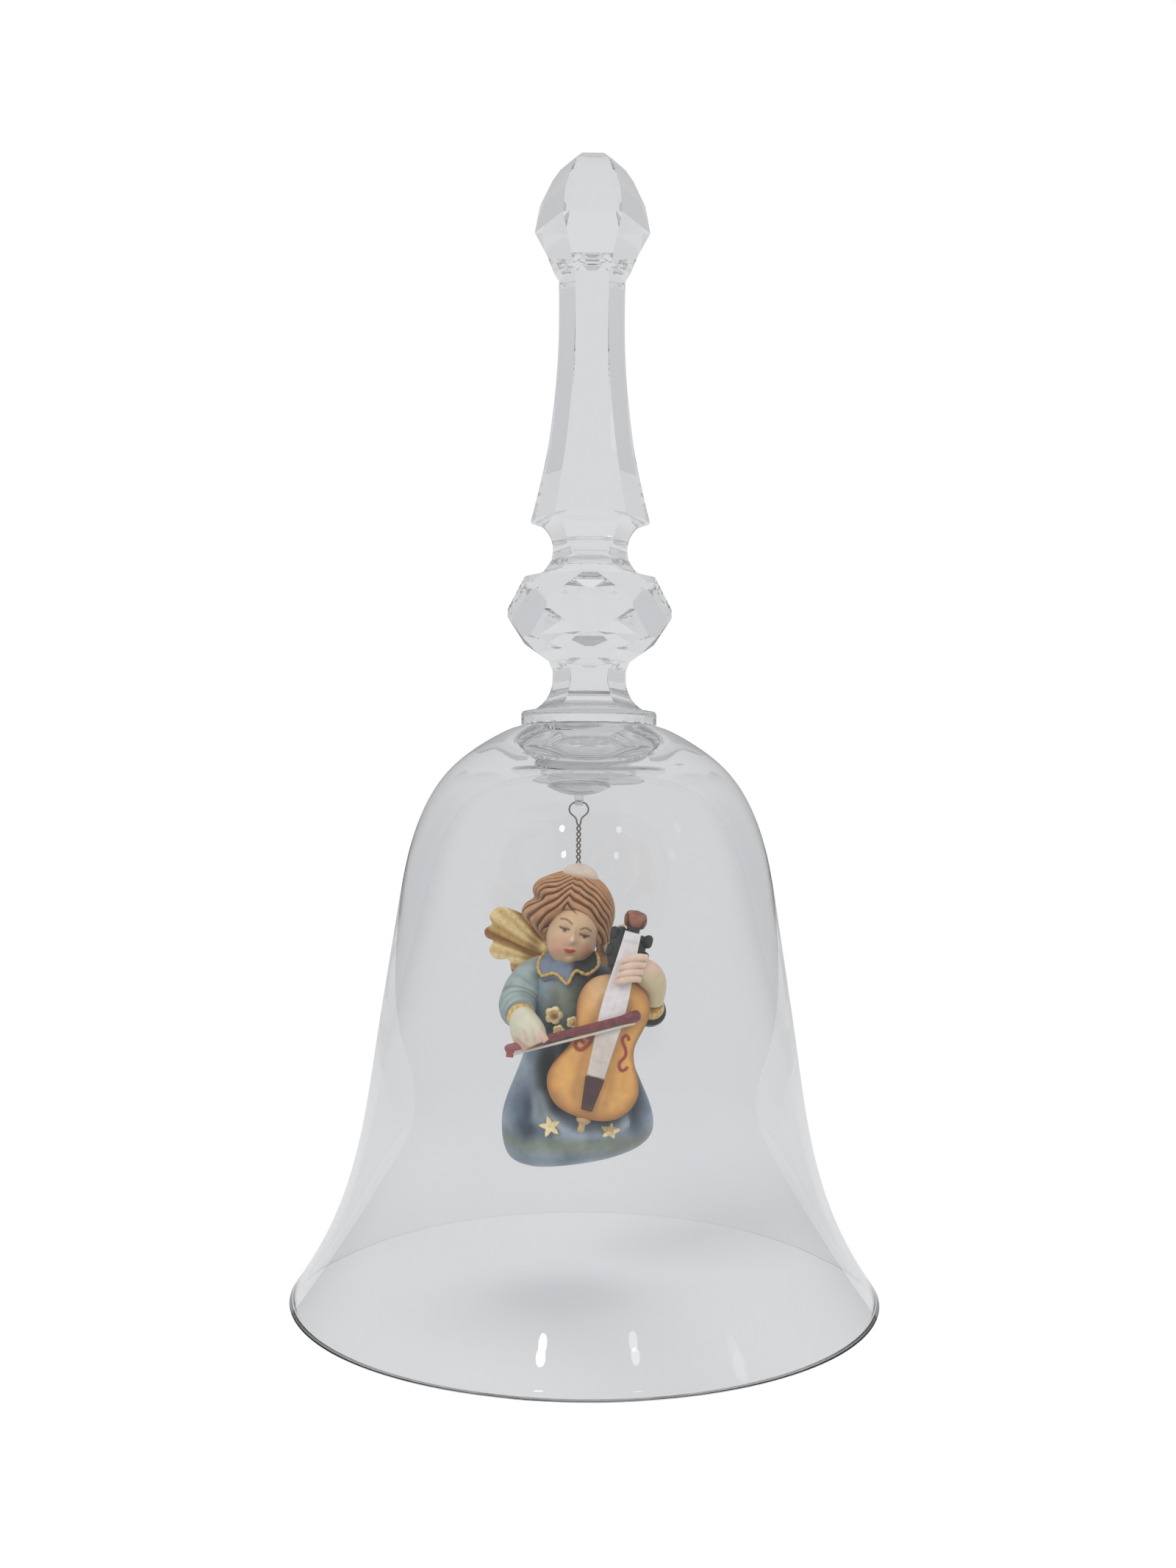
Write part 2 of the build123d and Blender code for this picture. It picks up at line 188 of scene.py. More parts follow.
def soft_light(name, place, size, power, mirrored=False):
    """Round light turned towards the middle of the bell; only a mirrored one shows in the glass."""
    lamp = bpy.data.lights.new(name, "AREA")
    lamp.shape = "DISK"
    lamp.size = size
    lamp.energy = power
    holder = bpy.data.objects.new(name, lamp)
    holder.location = place
    holder.visible_glossy = holder.visible_transmission = mirrored
    holder.rotation_euler = (Vector(LIGHT_AIM) - Vector(place)).to_track_quat("-Z", "Y").to_euler()
    bpy.context.scene.collection.objects.link(holder)


floor = disc("floor", FLOOR_R)
floor.data.materials.append(floor_finish())
bpy.context.scene.world = studio_world()
for light in LARGE_LIGHTS:
    soft_light(*light)
for light in MIRRORED_LIGHTS:
    soft_light(*light, mirrored=True)

camera = bpy.data.objects.new("camera", bpy.data.cameras.new("camera"))
camera.data.lens = CAMERA_LENS
camera.data.clip_start = 0.01
camera.location = CAMERA_AT
camera.rotation_euler = (math.radians(90), math.radians(CAMERA_ROLL), 0)
camera.data.shift_y = CAMERA_SHIFT
bpy.context.scene.collection.objects.link(camera)
bpy.context.scene.camera = camera
bpy.context.scene.view_settings.view_transform = "Standard"
for kind in ("max_bounces", "transmission_bounces", "glossy_bounces", "transparent_max_bounces"):
    setattr(bpy.context.scene.cycles, kind, CRYSTAL_BOUNCES)


# ---- Bowl ----
# The bell itself: clear crystal blown into a mould, thin at its ground rim and heavy at the crown.
# The outside and the inside are two profiles turned round the axis.
RIM_R = 43.65
RIM_WALL = 1.2
RIM_ROUND = 0.25
BOWL_TOP_Z = 84.1
CROWN_INSIDE_Z = 79.1
OVERLAP = 0.05
BOWL_WALL = [(11.0, 37.3, 1.25), (22.0, 33.8, 1.35), (38.5, 31.1, 1.8), (55.5, 28.5, 3.3), (68.5, 25.8, 4.3)]
BOWL_SHOULDER = [(21.0, 77.3), (14.2, 82.5), (10.6, BOWL_TOP_Z)]
CROWN_INSIDE = [(17.0, 74.8), (11.0, 77.7), (0, CROWN_INSIDE_Z)]
GLASS_TINT = (0.955, 0.958, 0.963)
SHADOW_TINT = 0.965


def smooth_line(points, count, ends=None):
    """Points along the cubic spline through the given ones, evenly spread by chord length.

    The slope at every point solves the three-term equations of a curve whose bend is continuous.
    ends gives the direction at the first and last point; without it both ends run out straight.
    """
    points = np.asarray(points, float)
    step = np.linalg.norm(np.diff(points, axis=0), axis=1)
    length = np.concatenate([[0], np.cumsum(step)])
    size = len(points)
    inner = np.arange(1, size - 1)
    rise = np.diff(points, axis=0) / step[:, None]
    matrix, right = np.zeros((size, size)), np.zeros_like(points)
    matrix[inner, inner - 1] = step[1:]
    matrix[inner, inner] = 2 * (step[:-1] + step[1:])
    matrix[inner, inner + 1] = step[:-1]
    right[1:-1] = 3 * (step[1:, None] * rise[:-1] + step[:-1, None] * rise[1:])
    if ends is None:
        matrix[0, :2], matrix[-1, -2:] = (2, 1), (1, 2)
        right[0], right[-1] = 3 * rise[0], 3 * rise[-1]
    else:
        matrix[0, 0] = matrix[-1, -1] = 1
        right[0], right[-1] = (np.array(end) / np.linalg.norm(end) for end in ends)
    slope = np.linalg.solve(matrix, right)
    at = np.linspace(0, length[-1], count)
    i = np.clip(np.searchsorted(length, at, side="right") - 1, 0, size - 2)
    gap = step[i][:, None]
    t = ((at - length[i]) / step[i])[:, None]
    start = (1 + 2 * t) * (1 - t) ** 2 * points[i] + t * (1 - t) ** 2 * gap * slope[i]
    return start + t * t * (3 - 2 * t) * points[i + 1] + t * t * (t - 1) * gap * slope[i + 1]


def grid_part(points, colour=(1, 1, 1), relief=0.5):
    """Closed shell over a grid of rows and columns: columns join up, and end rows shrink to a point.

    Returns points, four-sided faces that look outwards, a paint colour and a relief for each point.
    """
    rows, columns = points.shape[:2]
    number = np.arange(rows * columns).reshape(rows, columns)
    after = np.roll(number, -1, axis=1)
    faces = np.stack([number[:-1], number[1:], after[1:], after[:-1]], -1).reshape(-1, 4)
    flat = points.reshape(-1, 3)
    a, b, c, d = (flat[faces[:, i]] for i in range(4))
    volume = (np.cross(a, b) * c).sum() + (np.cross(a, c) * d).sum()
    if volume < 0:
        faces = faces[:, ::-1]
    paint = np.broadcast_to(np.asarray(colour, float), points.shape).reshape(-1, 3)
    return flat, faces, paint, np.broadcast_to(relief, (rows, columns)).reshape(-1)


def make_piece(name, parts, material, sharp=35):
    """One object from grid parts: doubles at the poles are merged, and edges over `sharp` degrees stay
    crisp."""
    counts = np.cumsum([0] + [len(part[0]) for part in parts])
    points = np.concatenate([part[0] for part in parts]) * MM
    faces = np.concatenate([part[1] + count for part, count in zip(parts, counts)])
    paint = np.concatenate([part[2] for part in parts])
    relief = np.concatenate([part[3] for part in parts])
    mesh = bpy.data.meshes.new(name)
    mesh.vertices.add(len(points))
    mesh.vertices.foreach_set("co", points.astype(np.float32).ravel())
    mesh.loops.add(faces.size)
    mesh.loops.foreach_set("vertex_index", faces.astype(np.int32).ravel())
    mesh.polygons.add(len(faces))
    mesh.polygons.foreach_set("loop_start", np.arange(0, faces.size, 4, dtype=np.int32))
    mesh.update(calc_edges=True)
    colours = np.concatenate([paint, np.ones((len(paint), 1))], 1).astype(np.float32)
    mesh.attributes.new("paint", "FLOAT_COLOR", "POINT").data.foreach_set("color", colours.ravel())
    mesh.attributes.new("relief", "FLOAT", "POINT").data.foreach_set("value", relief.astype(np.float32))
    work = bmesh.new()
    work.from_mesh(mesh)
    bmesh.ops.remove_doubles(work, verts=work.verts, dist=1e-7)
    work.to_mesh(mesh)
    work.free()
    mesh.shade_smooth()
    mesh.set_sharp_from_angle(angle=math.radians(sharp))
    mesh.materials.append(material)
    piece = bpy.data.objects.new(name, mesh)
    bpy.context.scene.collection.objects.link(piece)
    return piece


def turned(profile, columns=160, centre=(0, 0)):
    """Profile of (radius, height) points carried round an upright axis at `centre`."""
    profile = np.asarray(profile, float)
    angle = np.linspace(0, 2 * np.pi, columns, endpoint=False)
    x = centre[0] + profile[:, :1] * np.cos(angle)
    y = centre[1] + profile[:, :1] * np.sin(angle)
    return np.stack([x, y, np.broadcast_to(profile[:, 1:], x.shape)], -1)


def glass_surface_group():
    """Shared effect: slow waves left by the mould, and faint finger haze that changes the roughness."""
    group = bpy.data.node_groups.new("glass_surface", "ShaderNodeTree")
    for name, value in (("Wave Size", 60.0), ("Haze", 0.02)):
        socket = group.interface.new_socket(name, in_out="INPUT", socket_type="NodeSocketFloat")
        socket.default_value = value
    group.interface.new_socket("Roughness", in_out="OUTPUT", socket_type="NodeSocketFloat")
    group.interface.new_socket("Height", in_out="OUTPUT", socket_type="NodeSocketFloat")
    nodes, links = group.nodes, group.links
    given, result = nodes.new("NodeGroupInput"), nodes.new("NodeGroupOutput")
    place = nodes.new("ShaderNodeTexCoord")
    wave, smear = nodes.new("ShaderNodeTexNoise"), nodes.new("ShaderNodeTexNoise")
    wave.inputs["Detail"].default_value = 1
    smear.inputs["Scale"].default_value = 140
    smear.inputs["Detail"].default_value = 6
    amount = nodes.new("ShaderNodeMapRange")
    amount.inputs["From Min"].default_value = 0.5
    amount.inputs["From Max"].default_value = 0.8
    join(links,
         (place, "Object", wave, "Vector"), (place, "Object", smear, "Vector"),
         (given, "Wave Size", wave, "Scale"), (smear, "Fac", amount, "Value"),
         (given, "Haze", amount, "To Max"), (amount, "Result", result, "Roughness"),
         (wave, "Fac", result, "Height"))
    return group


GLASS_SURFACE = glass_surface_group()


def clear_glass(name, tint, wave_size=60.0, wave_depth=0.00002, haze=0.02, ior=1.5, clear=1.0):
    """Clear glass that lets light rays through nearly straight, so that what is behind it stays lit."""
    material, nodes, links = new_material(name)
    glass = nodes["Principled BSDF"]
    glass.inputs["Base Color"].default_value = (*tint, 1)
    glass.inputs["IOR"].default_value = ior
    glass.inputs["Transmission Weight"].default_value = clear
    surface = nodes.new("ShaderNodeGroup")
    surface.node_tree = GLASS_SURFACE
    surface.inputs["Wave Size"].default_value = wave_size
    surface.inputs["Haze"].default_value = haze
    bump = nodes.new("ShaderNodeBump")
    bump.inputs["Strength"].default_value = 1
    bump.inputs["Distance"].default_value = wave_depth
    through = nodes.new("ShaderNodeBsdfTransparent")
    through.inputs["Color"].default_value = (SHADOW_TINT, SHADOW_TINT, SHADOW_TINT, 1)
    ray = nodes.new("ShaderNodeLightPath")
    either = nodes.new("ShaderNodeMath")
    either.operation = "MAXIMUM"
    blend = nodes.new("ShaderNodeMixShader")
    join(links,
         (surface, "Roughness", glass, "Roughness"), (surface, "Height", bump, "Height"),
         (bump, "Normal", glass, "Normal"), (ray, "Is Shadow Ray", either, 0),
         (ray, "Is Diffuse Ray", either, 1), (either, 0, blend, "Fac"), (glass, "BSDF", blend, 1),
         (through, "BSDF", blend, 2), (blend, "Shader", nodes["Material Output"], "Surface"))
    return material


outside = smooth_line(
    [(RIM_R, 0)] + [(r, z) for z, r, wall in BOWL_WALL] + BOWL_SHOULDER, 90, ends=((-0.72, 1), (-1, 0.25))
)
inside = smooth_line(
    [(RIM_R - RIM_WALL, 0)] + [(r - wall, z) for z, r, wall in BOWL_WALL] + CROWN_INSIDE, 90,
    ends=((-0.70, 1), (-1, 0)),
)
outside, inside = (
    np.concatenate([[(np.interp(RIM_ROUND, line[:, 1], line[:, 0]), RIM_ROUND)],
                    line[line[:, 1] > RIM_ROUND]])
    for line in (outside, inside))
turn_under = np.linspace(0, np.pi, 9)[1:-1, None]
rim_middle, rim_half = (outside[0] + inside[0]) / 2, (outside[0] - inside[0]) / 2
rim = rim_middle + rim_half * np.cos(turn_under) - np.array([[0, 1]]) * rim_middle[1] * np.sin(turn_under)
bowl_profile = np.concatenate([[(0, BOWL_TOP_Z), (10.4, BOWL_TOP_Z)], outside[::-1], rim, inside])
bowl = make_piece("bell_bowl_glass", [grid_part(turned(bowl_profile, 192))],
                  clear_glass("blown_crystal", GLASS_TINT))
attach(bowl, "bell")
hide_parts("bell_bowl")


# ---- Handle ----
# Cut and polished crystal: a hexagonal stack whose arrises are ground off by a second, turned one.
# That leaves six diamonds round the knop. It stands on a round collar and is glued to the bowl.
COLLAR_R = 10.15
COLLAR_FOOT_Z = 84.3
COLLAR_TOP_Z = 86.3
KNOP_R = 12.35
NECK_R = 5.5
SKIRT_Z = 114.9
ARRIS_PROUD = 0.5
COS_HALF_HEX = math.cos(math.radians(30))
SIN_HALF_HEX = 0.5


def hollow(z_wide, r_wide, z_waist, r_waist, steps=16):
    """Quarter-oval hollow from its wide end down to its waist."""
    angle = np.linspace(0, np.pi / 2, steps)
    return np.stack([z_wide + (z_waist - z_wide) * (1 - np.cos(angle)),
                     r_wide + (r_waist - r_wide) * np.sin(angle)], -1)


def cut_levels(arris, bevel):
    """Both stacks at every level of either, and at the levels where one starts to cut the other."""
    given = np.union1d(arris[:, 0], bevel[:, 0])
    flat = COS_HALF_HEX * np.interp(given, *arris.T)
    turned_flat = np.interp(given, *bevel.T)
    levels = given
    for miss in (turned_flat - flat * COS_HALF_HEX, turned_flat * COS_HALF_HEX - flat):
        i = np.flatnonzero(miss[:-1] * miss[1:] < -1e-9)
        share = miss[i] / (miss[i] - miss[i + 1])
        levels = np.union1d(levels, given[i] * (1 - share) + given[i + 1] * share)
    return levels, COS_HALF_HEX * np.interp(levels, *arris.T), np.interp(levels, *bevel.T)


def crystal_grid(levels, flat, turned_flat, per_side=5):
    """Twelve-sided rings. Each main facet spans an angle phi to either side of its middle, where the
    turned facets cut it: tan(phi) = (turned / flat - cos 30) / sin 30, kept between 0 and 30 degrees."""
    phi = np.arctan((turned_flat / flat - COS_HALF_HEX) / SIN_HALF_HEX)
    phi = np.clip(phi, 0, np.pi / 6)[:, None]
    radius = np.where(phi <= 0, (turned_flat / COS_HALF_HEX)[:, None], flat[:, None] / np.cos(phi))
    middle = np.radians(90 + 60 * np.arange(6))
    angle = np.stack([middle - phi, middle + phi], -1).reshape(len(levels), 12)
    corner = np.stack([radius * np.cos(angle), radius * np.sin(angle)], -1)
    share = np.linspace(0, 1, per_side, endpoint=False)[None, None, :, None]
    ring = corner[:, :, None] * (1 - share) + np.roll(corner, -1, axis=1)[:, :, None] * share
    ring = ring.reshape(len(levels), 12 * per_side, 2)
    return np.concatenate([ring, np.broadcast_to(levels[:, None, None], (*ring.shape[:2], 1))], -1)


shaft = smooth_line([(118.6, 8.0), (123.5, 6.9), (129, 6.05), (135, 5.4), (142, 5.0), (151.2, 5.0)], 40)
knob = [(152.3, 5.7), (155.0, 6.8), (158.5, 8.7), (162.5, 7.95), (166.3, 6.1),
        (168.0, 4.9), (169.3, 3.2), (170.0, 1.2)]
foot_and_neck = np.concatenate([hollow(COLLAR_TOP_Z, COLLAR_R, 91.4, NECK_R),
                                [(92.6, NECK_R), (94.0, 6.1), (95.2, 7.8)]])
knop_over = [(106.6, 8.5), (107.6, 6.9), (109.2, 5.8), (110.5, 5.6)]
upper = np.concatenate([hollow(SKIRT_Z, 8.9, 110.8, 5.6)[::-1], shaft, knob])
proud = upper + [0, 1] * (ARRIS_PROUD * np.maximum(0, 1 - abs(upper[:, :1] - SKIRT_Z) / 22))
arris = np.concatenate([foot_and_neck, [(97.1, KNOP_R), (105.9, KNOP_R)], knop_over, proud])
bevel = np.concatenate([foot_and_neck, [(97.1, 9.9), (100.65, KNOP_R), (101.85, KNOP_R), (105.9, 9.6)],
                        knop_over, upper])
facets = crystal_grid(*cut_levels(arris, bevel))
collar_angle = np.arctan2(facets[0, :, 1], facets[0, :, 0])
collar_rows = [(0, COLLAR_FOOT_Z), (COLLAR_R - 0.2, COLLAR_FOOT_Z), (COLLAR_R, COLLAR_FOOT_Z + 0.2),
               (COLLAR_R, COLLAR_TOP_Z - 0.2), (COLLAR_R - 0.1, COLLAR_TOP_Z)]
collar = np.stack([np.stack([r * np.cos(collar_angle), r * np.sin(collar_angle), 0 * collar_angle + z], -1)
                   for r, z in collar_rows])
facets[0, :, :2] *= 0.985
handle_tip = np.broadcast_to(facets[-1:].mean(axis=1, keepdims=True), (1, *facets.shape[1:]))
handle = make_piece("crystal_handle_cut", [grid_part(np.concatenate([collar, facets, handle_tip]))],
                    clear_glass("cut_crystal", (0.96, 0.965, 0.97), 90.0, 0.000006, 0.01), sharp=9)
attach(handle, "bell")
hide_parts("crystal_handle")


# ---- Glue films ----
# Two films of clear adhesive: one under the collar, one over the hanger's button. Each holds a few
# tiny bubbles. They reach a hair into the glass on either side, so that no air is caught between.
HANG_X = -1.4
BOND_R = 9.9
BUTTON_TOP_Z = 78.1
BUTTON_BOND_R = 4.5


def ball(centre, halves, rows=24, columns=32):
    """Ellipsoid as rings of latitude; its first and last rows are the poles."""
    up = np.linspace(-np.pi / 2, np.pi / 2, rows)[:, None]
    angle = np.linspace(0, 2 * np.pi, columns, endpoint=False)[None]
    unit = np.stack([np.cos(up) * np.cos(angle), np.cos(up) * np.sin(angle),
                     np.broadcast_to(np.sin(up), (rows, columns))], -1)
    return np.asarray(centre) + unit * np.asarray(halves)


def bubbles(seed, count, reach, low, high, centre_x):
    """Flattened bubbles scattered evenly over a round film."""
    dice = np.random.default_rng(seed)
    distance, angle = reach * np.sqrt(dice.random(count)), 2 * np.pi * dice.random(count)
    size, height = dice.uniform(0.05, 0.11, count), dice.uniform(low, high, count)
    return [grid_part(ball((centre_x + d * math.cos(a), d * math.sin(a), z), (s, s, 0.045), 7, 10))
            for d, a, s, z in zip(distance, angle, size, height)]


film = clear_glass("clear_adhesive", (0.97, 0.975, 0.97), 200.0, 0.00003, 0.04, 1.5)
air = clear_glass("trapped_air", (1, 1, 1), 100.0, 0.0, 0.05, 0.667)
bond_rows = [(0, BOWL_TOP_Z - OVERLAP), (BOND_R, BOWL_TOP_Z - OVERLAP), (BOND_R + 0.06, BOWL_TOP_Z + 0.1),
             (BOND_R, COLLAR_FOOT_Z + OVERLAP), (0, COLLAR_FOOT_Z + OVERLAP)]
handle_bond = make_piece("handle_bond_film", [grid_part(turned(bond_rows, 96))], film)
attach(handle_bond, "bell")
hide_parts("handle_bond")
button_film_rows = [(0, BUTTON_TOP_Z - OVERLAP), (BUTTON_BOND_R, BUTTON_TOP_Z - OVERLAP),
                    (BUTTON_BOND_R + 0.1, 78.5), (BUTTON_BOND_R, 78.98), (0, CROWN_INSIDE_Z + OVERLAP)]
button_bond = make_piece("button_bond_film", [grid_part(turned(button_film_rows, 72, (HANG_X, 0)))], film)
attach(button_bond, "bell")
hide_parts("button_bond")
film_bubbles = make_piece(
    "film_bubbles",
    bubbles(3, 34, BOND_R - 0.4, BOWL_TOP_Z + 0.08, BOWL_TOP_Z + 0.14, 0)
    + bubbles(8, 16, BUTTON_BOND_R - 0.4, 78.3, 78.75, HANG_X), air)
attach(film_bubbles, "bell")


# ---- Hanger button and peg ----
# A pressed glass button with a domed face, stuck inside the crown, and the short clear peg below it.
# The peg is drilled across for the wire.
BUTTON_R = 4.9
BUTTON_EDGE = 0.7
BUTTON_BULGE = 2.1
PEG_R = 0.7
PEG_END_Z = 73.35
EYE_Z = 74.0
EYE_R = 0.38

dome_r = (BUTTON_R ** 2 + BUTTON_BULGE ** 2) / (2 * BUTTON_BULGE)
dome_angle = np.linspace(math.asin(BUTTON_R / dome_r), 0, 20)
dome_top_z = BUTTON_TOP_Z - BUTTON_EDGE - BUTTON_BULGE + dome_r
button_rows = np.concatenate([
    [(0, BUTTON_TOP_Z), (BUTTON_R - 0.15, BUTTON_TOP_Z), (BUTTON_R, BUTTON_TOP_Z - 0.15)],
    np.stack([dome_r * np.sin(dome_angle), dome_top_z - dome_r * np.cos(dome_angle)], -1),
])
button = make_piece("hanger_button_glass", [grid_part(turned(button_rows, 96, (HANG_X, 0)))],
                    clear_glass("pressed_glass", GLASS_TINT, 120.0, 0.00001, 0.02))
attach(button, "bell")
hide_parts("hanger_button")

peg_top_z = BUTTON_TOP_Z - BUTTON_EDGE - BUTTON_BULGE + OVERLAP
peg_rows = [(0, PEG_END_Z), (PEG_R - 0.15, PEG_END_Z), (PEG_R, PEG_END_Z + 0.15),
            (PEG_R, peg_top_z), (0, peg_top_z)]
peg = make_piece("hanger_peg_glass", [grid_part(turned(peg_rows, 40, (HANG_X, 0)))],
                 clear_glass("drawn_glass", GLASS_TINT, 300.0, 0.00001, 0.02))
drill_rows = np.array([(0, -2 * PEG_R), (EYE_R, -2 * PEG_R), (EYE_R, 2 * PEG_R), (0, 2 * PEG_R)])
drill_grid = turned(drill_rows, 32)[..., [2, 1, 0]] + [HANG_X, 0, EYE_Z]
drill = make_piece("eye_drill", [grid_part(drill_grid)], peg.data.materials[0])
bore = peg.modifiers.new("eye", "BOOLEAN")
bore.operation = "DIFFERENCE"
bore.solver = "EXACT"
bore.object = drill
bpy.context.view_layer.update()
bored = bpy.data.meshes.new_from_object(peg.evaluated_get(bpy.context.evaluated_depsgraph_get()))
peg.modifiers.clear()
peg.data = bored
bpy.data.objects.remove(drill)
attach(peg, "bell")
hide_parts("hanger_peg")


# ---- Wire ----
# One length of bright steel wire: up out of the glue, round the eye as a teardrop, and back down,
# with its two legs twisted together.
WIRE_R = 0.13
TWIST_SPREAD = 0.27
LOOP_R = 1.45
LOOP_FOOT_Z = 70.4
TWIST_FOOT_Z = 63.4
TWIST_TURNS = 4


def tube(path, radii, up, columns=20, phase=0.0):
    """Oval section carried along a path. Its sides are square to the path's run and to `up`;
    the first and last rows close it to a point. radii is one number, a list, or (side, up) pairs."""
    path = np.asarray(path, float)
    run = np.gradient(path, axis=0)
    run /= np.linalg.norm(run, axis=1, keepdims=True)
    side = np.cross(run, up)
    side /= np.linalg.norm(side, axis=1, keepdims=True)
    top = np.cross(side, run)
    radii = np.asarray(radii, float)
    radii = radii[:, None] if radii.ndim == 1 else radii
    radii = np.broadcast_to(radii, (len(path), 2))
    angle = phase + np.linspace(0, 2 * np.pi, columns, endpoint=False)
    across = radii[:, :1, None] * np.cos(angle)[None, :, None] * side[:, None]
    ring = path[:, None] + across + radii[:, 1:, None] * np.sin(angle)[None, :, None] * top[:, None]
    start, end = (np.broadcast_to(path[i][None, None], (1, columns, 3)) for i in (0, -1))
    return np.concatenate([start, ring, end])


def metal(name, colour, rough_low, rough_high, scratch_scale):
    """Bright metal with fine drawing marks in its roughness."""
    material, nodes, links = new_material(name)
    shader = nodes["Principled BSDF"]
    shader.inputs["Base Color"].default_value = (*colour, 1)
    shader.inputs["Metallic"].default_value = 1
    place, marks = nodes.new("ShaderNodeTexCoord"), nodes.new("ShaderNodeTexNoise")
    marks.inputs["Scale"].default_value = scratch_scale
    marks.inputs["Detail"].default_value = 4
    amount = nodes.new("ShaderNodeMapRange")
    amount.inputs["To Min"].default_value = rough_low
    amount.inputs["To Max"].default_value = rough_high
    join(links,
         (place, "Object", marks, "Vector"), (marks, "Fac", amount, "Value"),
         (amount, "Result", shader, "Roughness"))
    return material


twist_z = np.linspace(TWIST_FOOT_Z, LOOP_FOOT_Z, 150)
twist_angle = 2 * np.pi * TWIST_TURNS * (LOOP_FOOT_Z - twist_z) / (LOOP_FOOT_Z - TWIST_FOOT_Z)
leg = np.stack([HANG_X - TWIST_SPREAD * np.cos(twist_angle),
                -TWIST_SPREAD * np.sin(twist_angle), twist_z], -1)
loop_z = EYE_Z + 0.09 - LOOP_R
loop_side = smooth_line([(-TWIST_SPREAD, LOOP_FOOT_Z), (-0.45, LOOP_FOOT_Z + 0.75), (-1.32, loop_z - 0.5),
                         (-LOOP_R * 0.97, loop_z + 0.35), (-LOOP_R * 0.64, loop_z + LOOP_R * 0.77),
                         (0, loop_z + LOOP_R)], 60, ends=((-0.1, 1), (1, 0)))
left_side = np.stack([HANG_X + loop_side[:, 0], 0 * loop_side[:, 0], loop_side[:, 1]], -1)
mirror = np.array([-1, -1, 1])
centre_line = np.array([2 * HANG_X, 0, 0])
whole_left = np.concatenate([leg[:-1], left_side])
wire_path = np.concatenate([whole_left, (whole_left * mirror + centre_line)[-2::-1]])
wire_round = tube(wire_path, [WIRE_R] * len(wire_path), (0, 1, 0.02), 12)
wire = make_piece("hanging_wire_steel", [grid_part(wire_round)],
                  metal("bright_steel", (0.27, 0.25, 0.22), 0.2, 0.45, 4000), sharp=60)
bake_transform(wire)
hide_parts("wire_loop", "wire_twist")


# ---- Dress ----
# The angel is carved from one block of wood and painted by hand in thin glazes. The dress is a full
# kneeling skirt, drawn in at the waist, with hollows cut for the folds and a lap under the cello.
FIGURE_X = -1.4
DRESS_OVALS = [
    (19.8, FIGURE_X, 0.9, 7.6, 6.0), (21.3, FIGURE_X, 0.9, 10.3, 8.0), (24.5, FIGURE_X, 0.9, 11.3, 9.0),
    (30.0, FIGURE_X, 0.9, 10.2, 8.4), (36.0, FIGURE_X, 0.8, 8.0, 6.7), (41.0, FIGURE_X, 0.7, 7.4, 5.5),
    (46.0, FIGURE_X, 0.6, 7.6, 4.9), (49.4, -1.8, 0.0, 5.2, 3.9), (50.4, -2.0, -0.3, 2.6, 2.4),
]
SKIRT_SQUARENESS = 0.92
CELLO_FOOT = (-0.34, -9.3, 27.6)
CELLO_LEAN = math.radians(14.2)
CELLO_TILT = math.radians(84)
CELLO_SHADOW_REACH = 1.9
CELLO_HALF = [(0, 0), (4.6, 1.2), (6.6, 5.2), (4.4, 11.4), (5.2, 16.8), (3.6, 20.4), (1.3, 21.4)]


def shade(red, green, blue):
    """Paint colour from its everyday 0-255 values, as light."""
    value = np.array([red, green, blue]) / 255
    return np.where(value <= 0.04045, value / 12.92, ((value + 0.055) / 1.055) ** 2.4)


def spot(points, centre, reach):
    """Soft round mask: 1 at the centre, falling as a bell curve over `reach` on each axis."""
    away = (points - np.asarray(centre)) / np.asarray(reach)
    return np.exp(-(away ** 2).sum(axis=-1))


def nearest(flat, line):
    """Squared distance from each flat point to the nearest dot of a line."""
    away = np.full(flat.shape[:-1], np.inf)
    for dot in line:
        away = np.minimum(away, ((flat - dot) ** 2).sum(axis=-1))
    return away


def stroke(points, line, width, axes=(0, 2)):
    """Mask of a brush stroke: 1 on a line in the front view, falling off over `width`."""
    line = smooth_line(line, 40) if len(line) > 2 else np.linspace(line[0], line[1], 40)
    return np.exp(-nearest(points[..., list(axes)], line) / width ** 2)


def mix(colour, other, share):
    """One colour laid over another by a mask."""
    share = np.clip(share, 0, 1)[..., None]
    return colour * (1 - share) + np.asarray(other) * share


def cello_place(points):
    """From the cello's own frame (X across, Y up the neck, Z out of its front) to the bell's."""
    x, y, z = np.moveaxis(np.asarray(points, float), -1, 0)
    back = y * math.cos(CELLO_TILT) - z * math.sin(CELLO_TILT)
    up = y * math.sin(CELLO_TILT) + z * math.cos(CELLO_TILT)
    across = x * math.cos(CELLO_LEAN) + up * math.sin(CELLO_LEAN)
    height = -x * math.sin(CELLO_LEAN) + up * math.cos(CELLO_LEAN)
    return np.stack([across, back, height], -1) + CELLO_FOOT


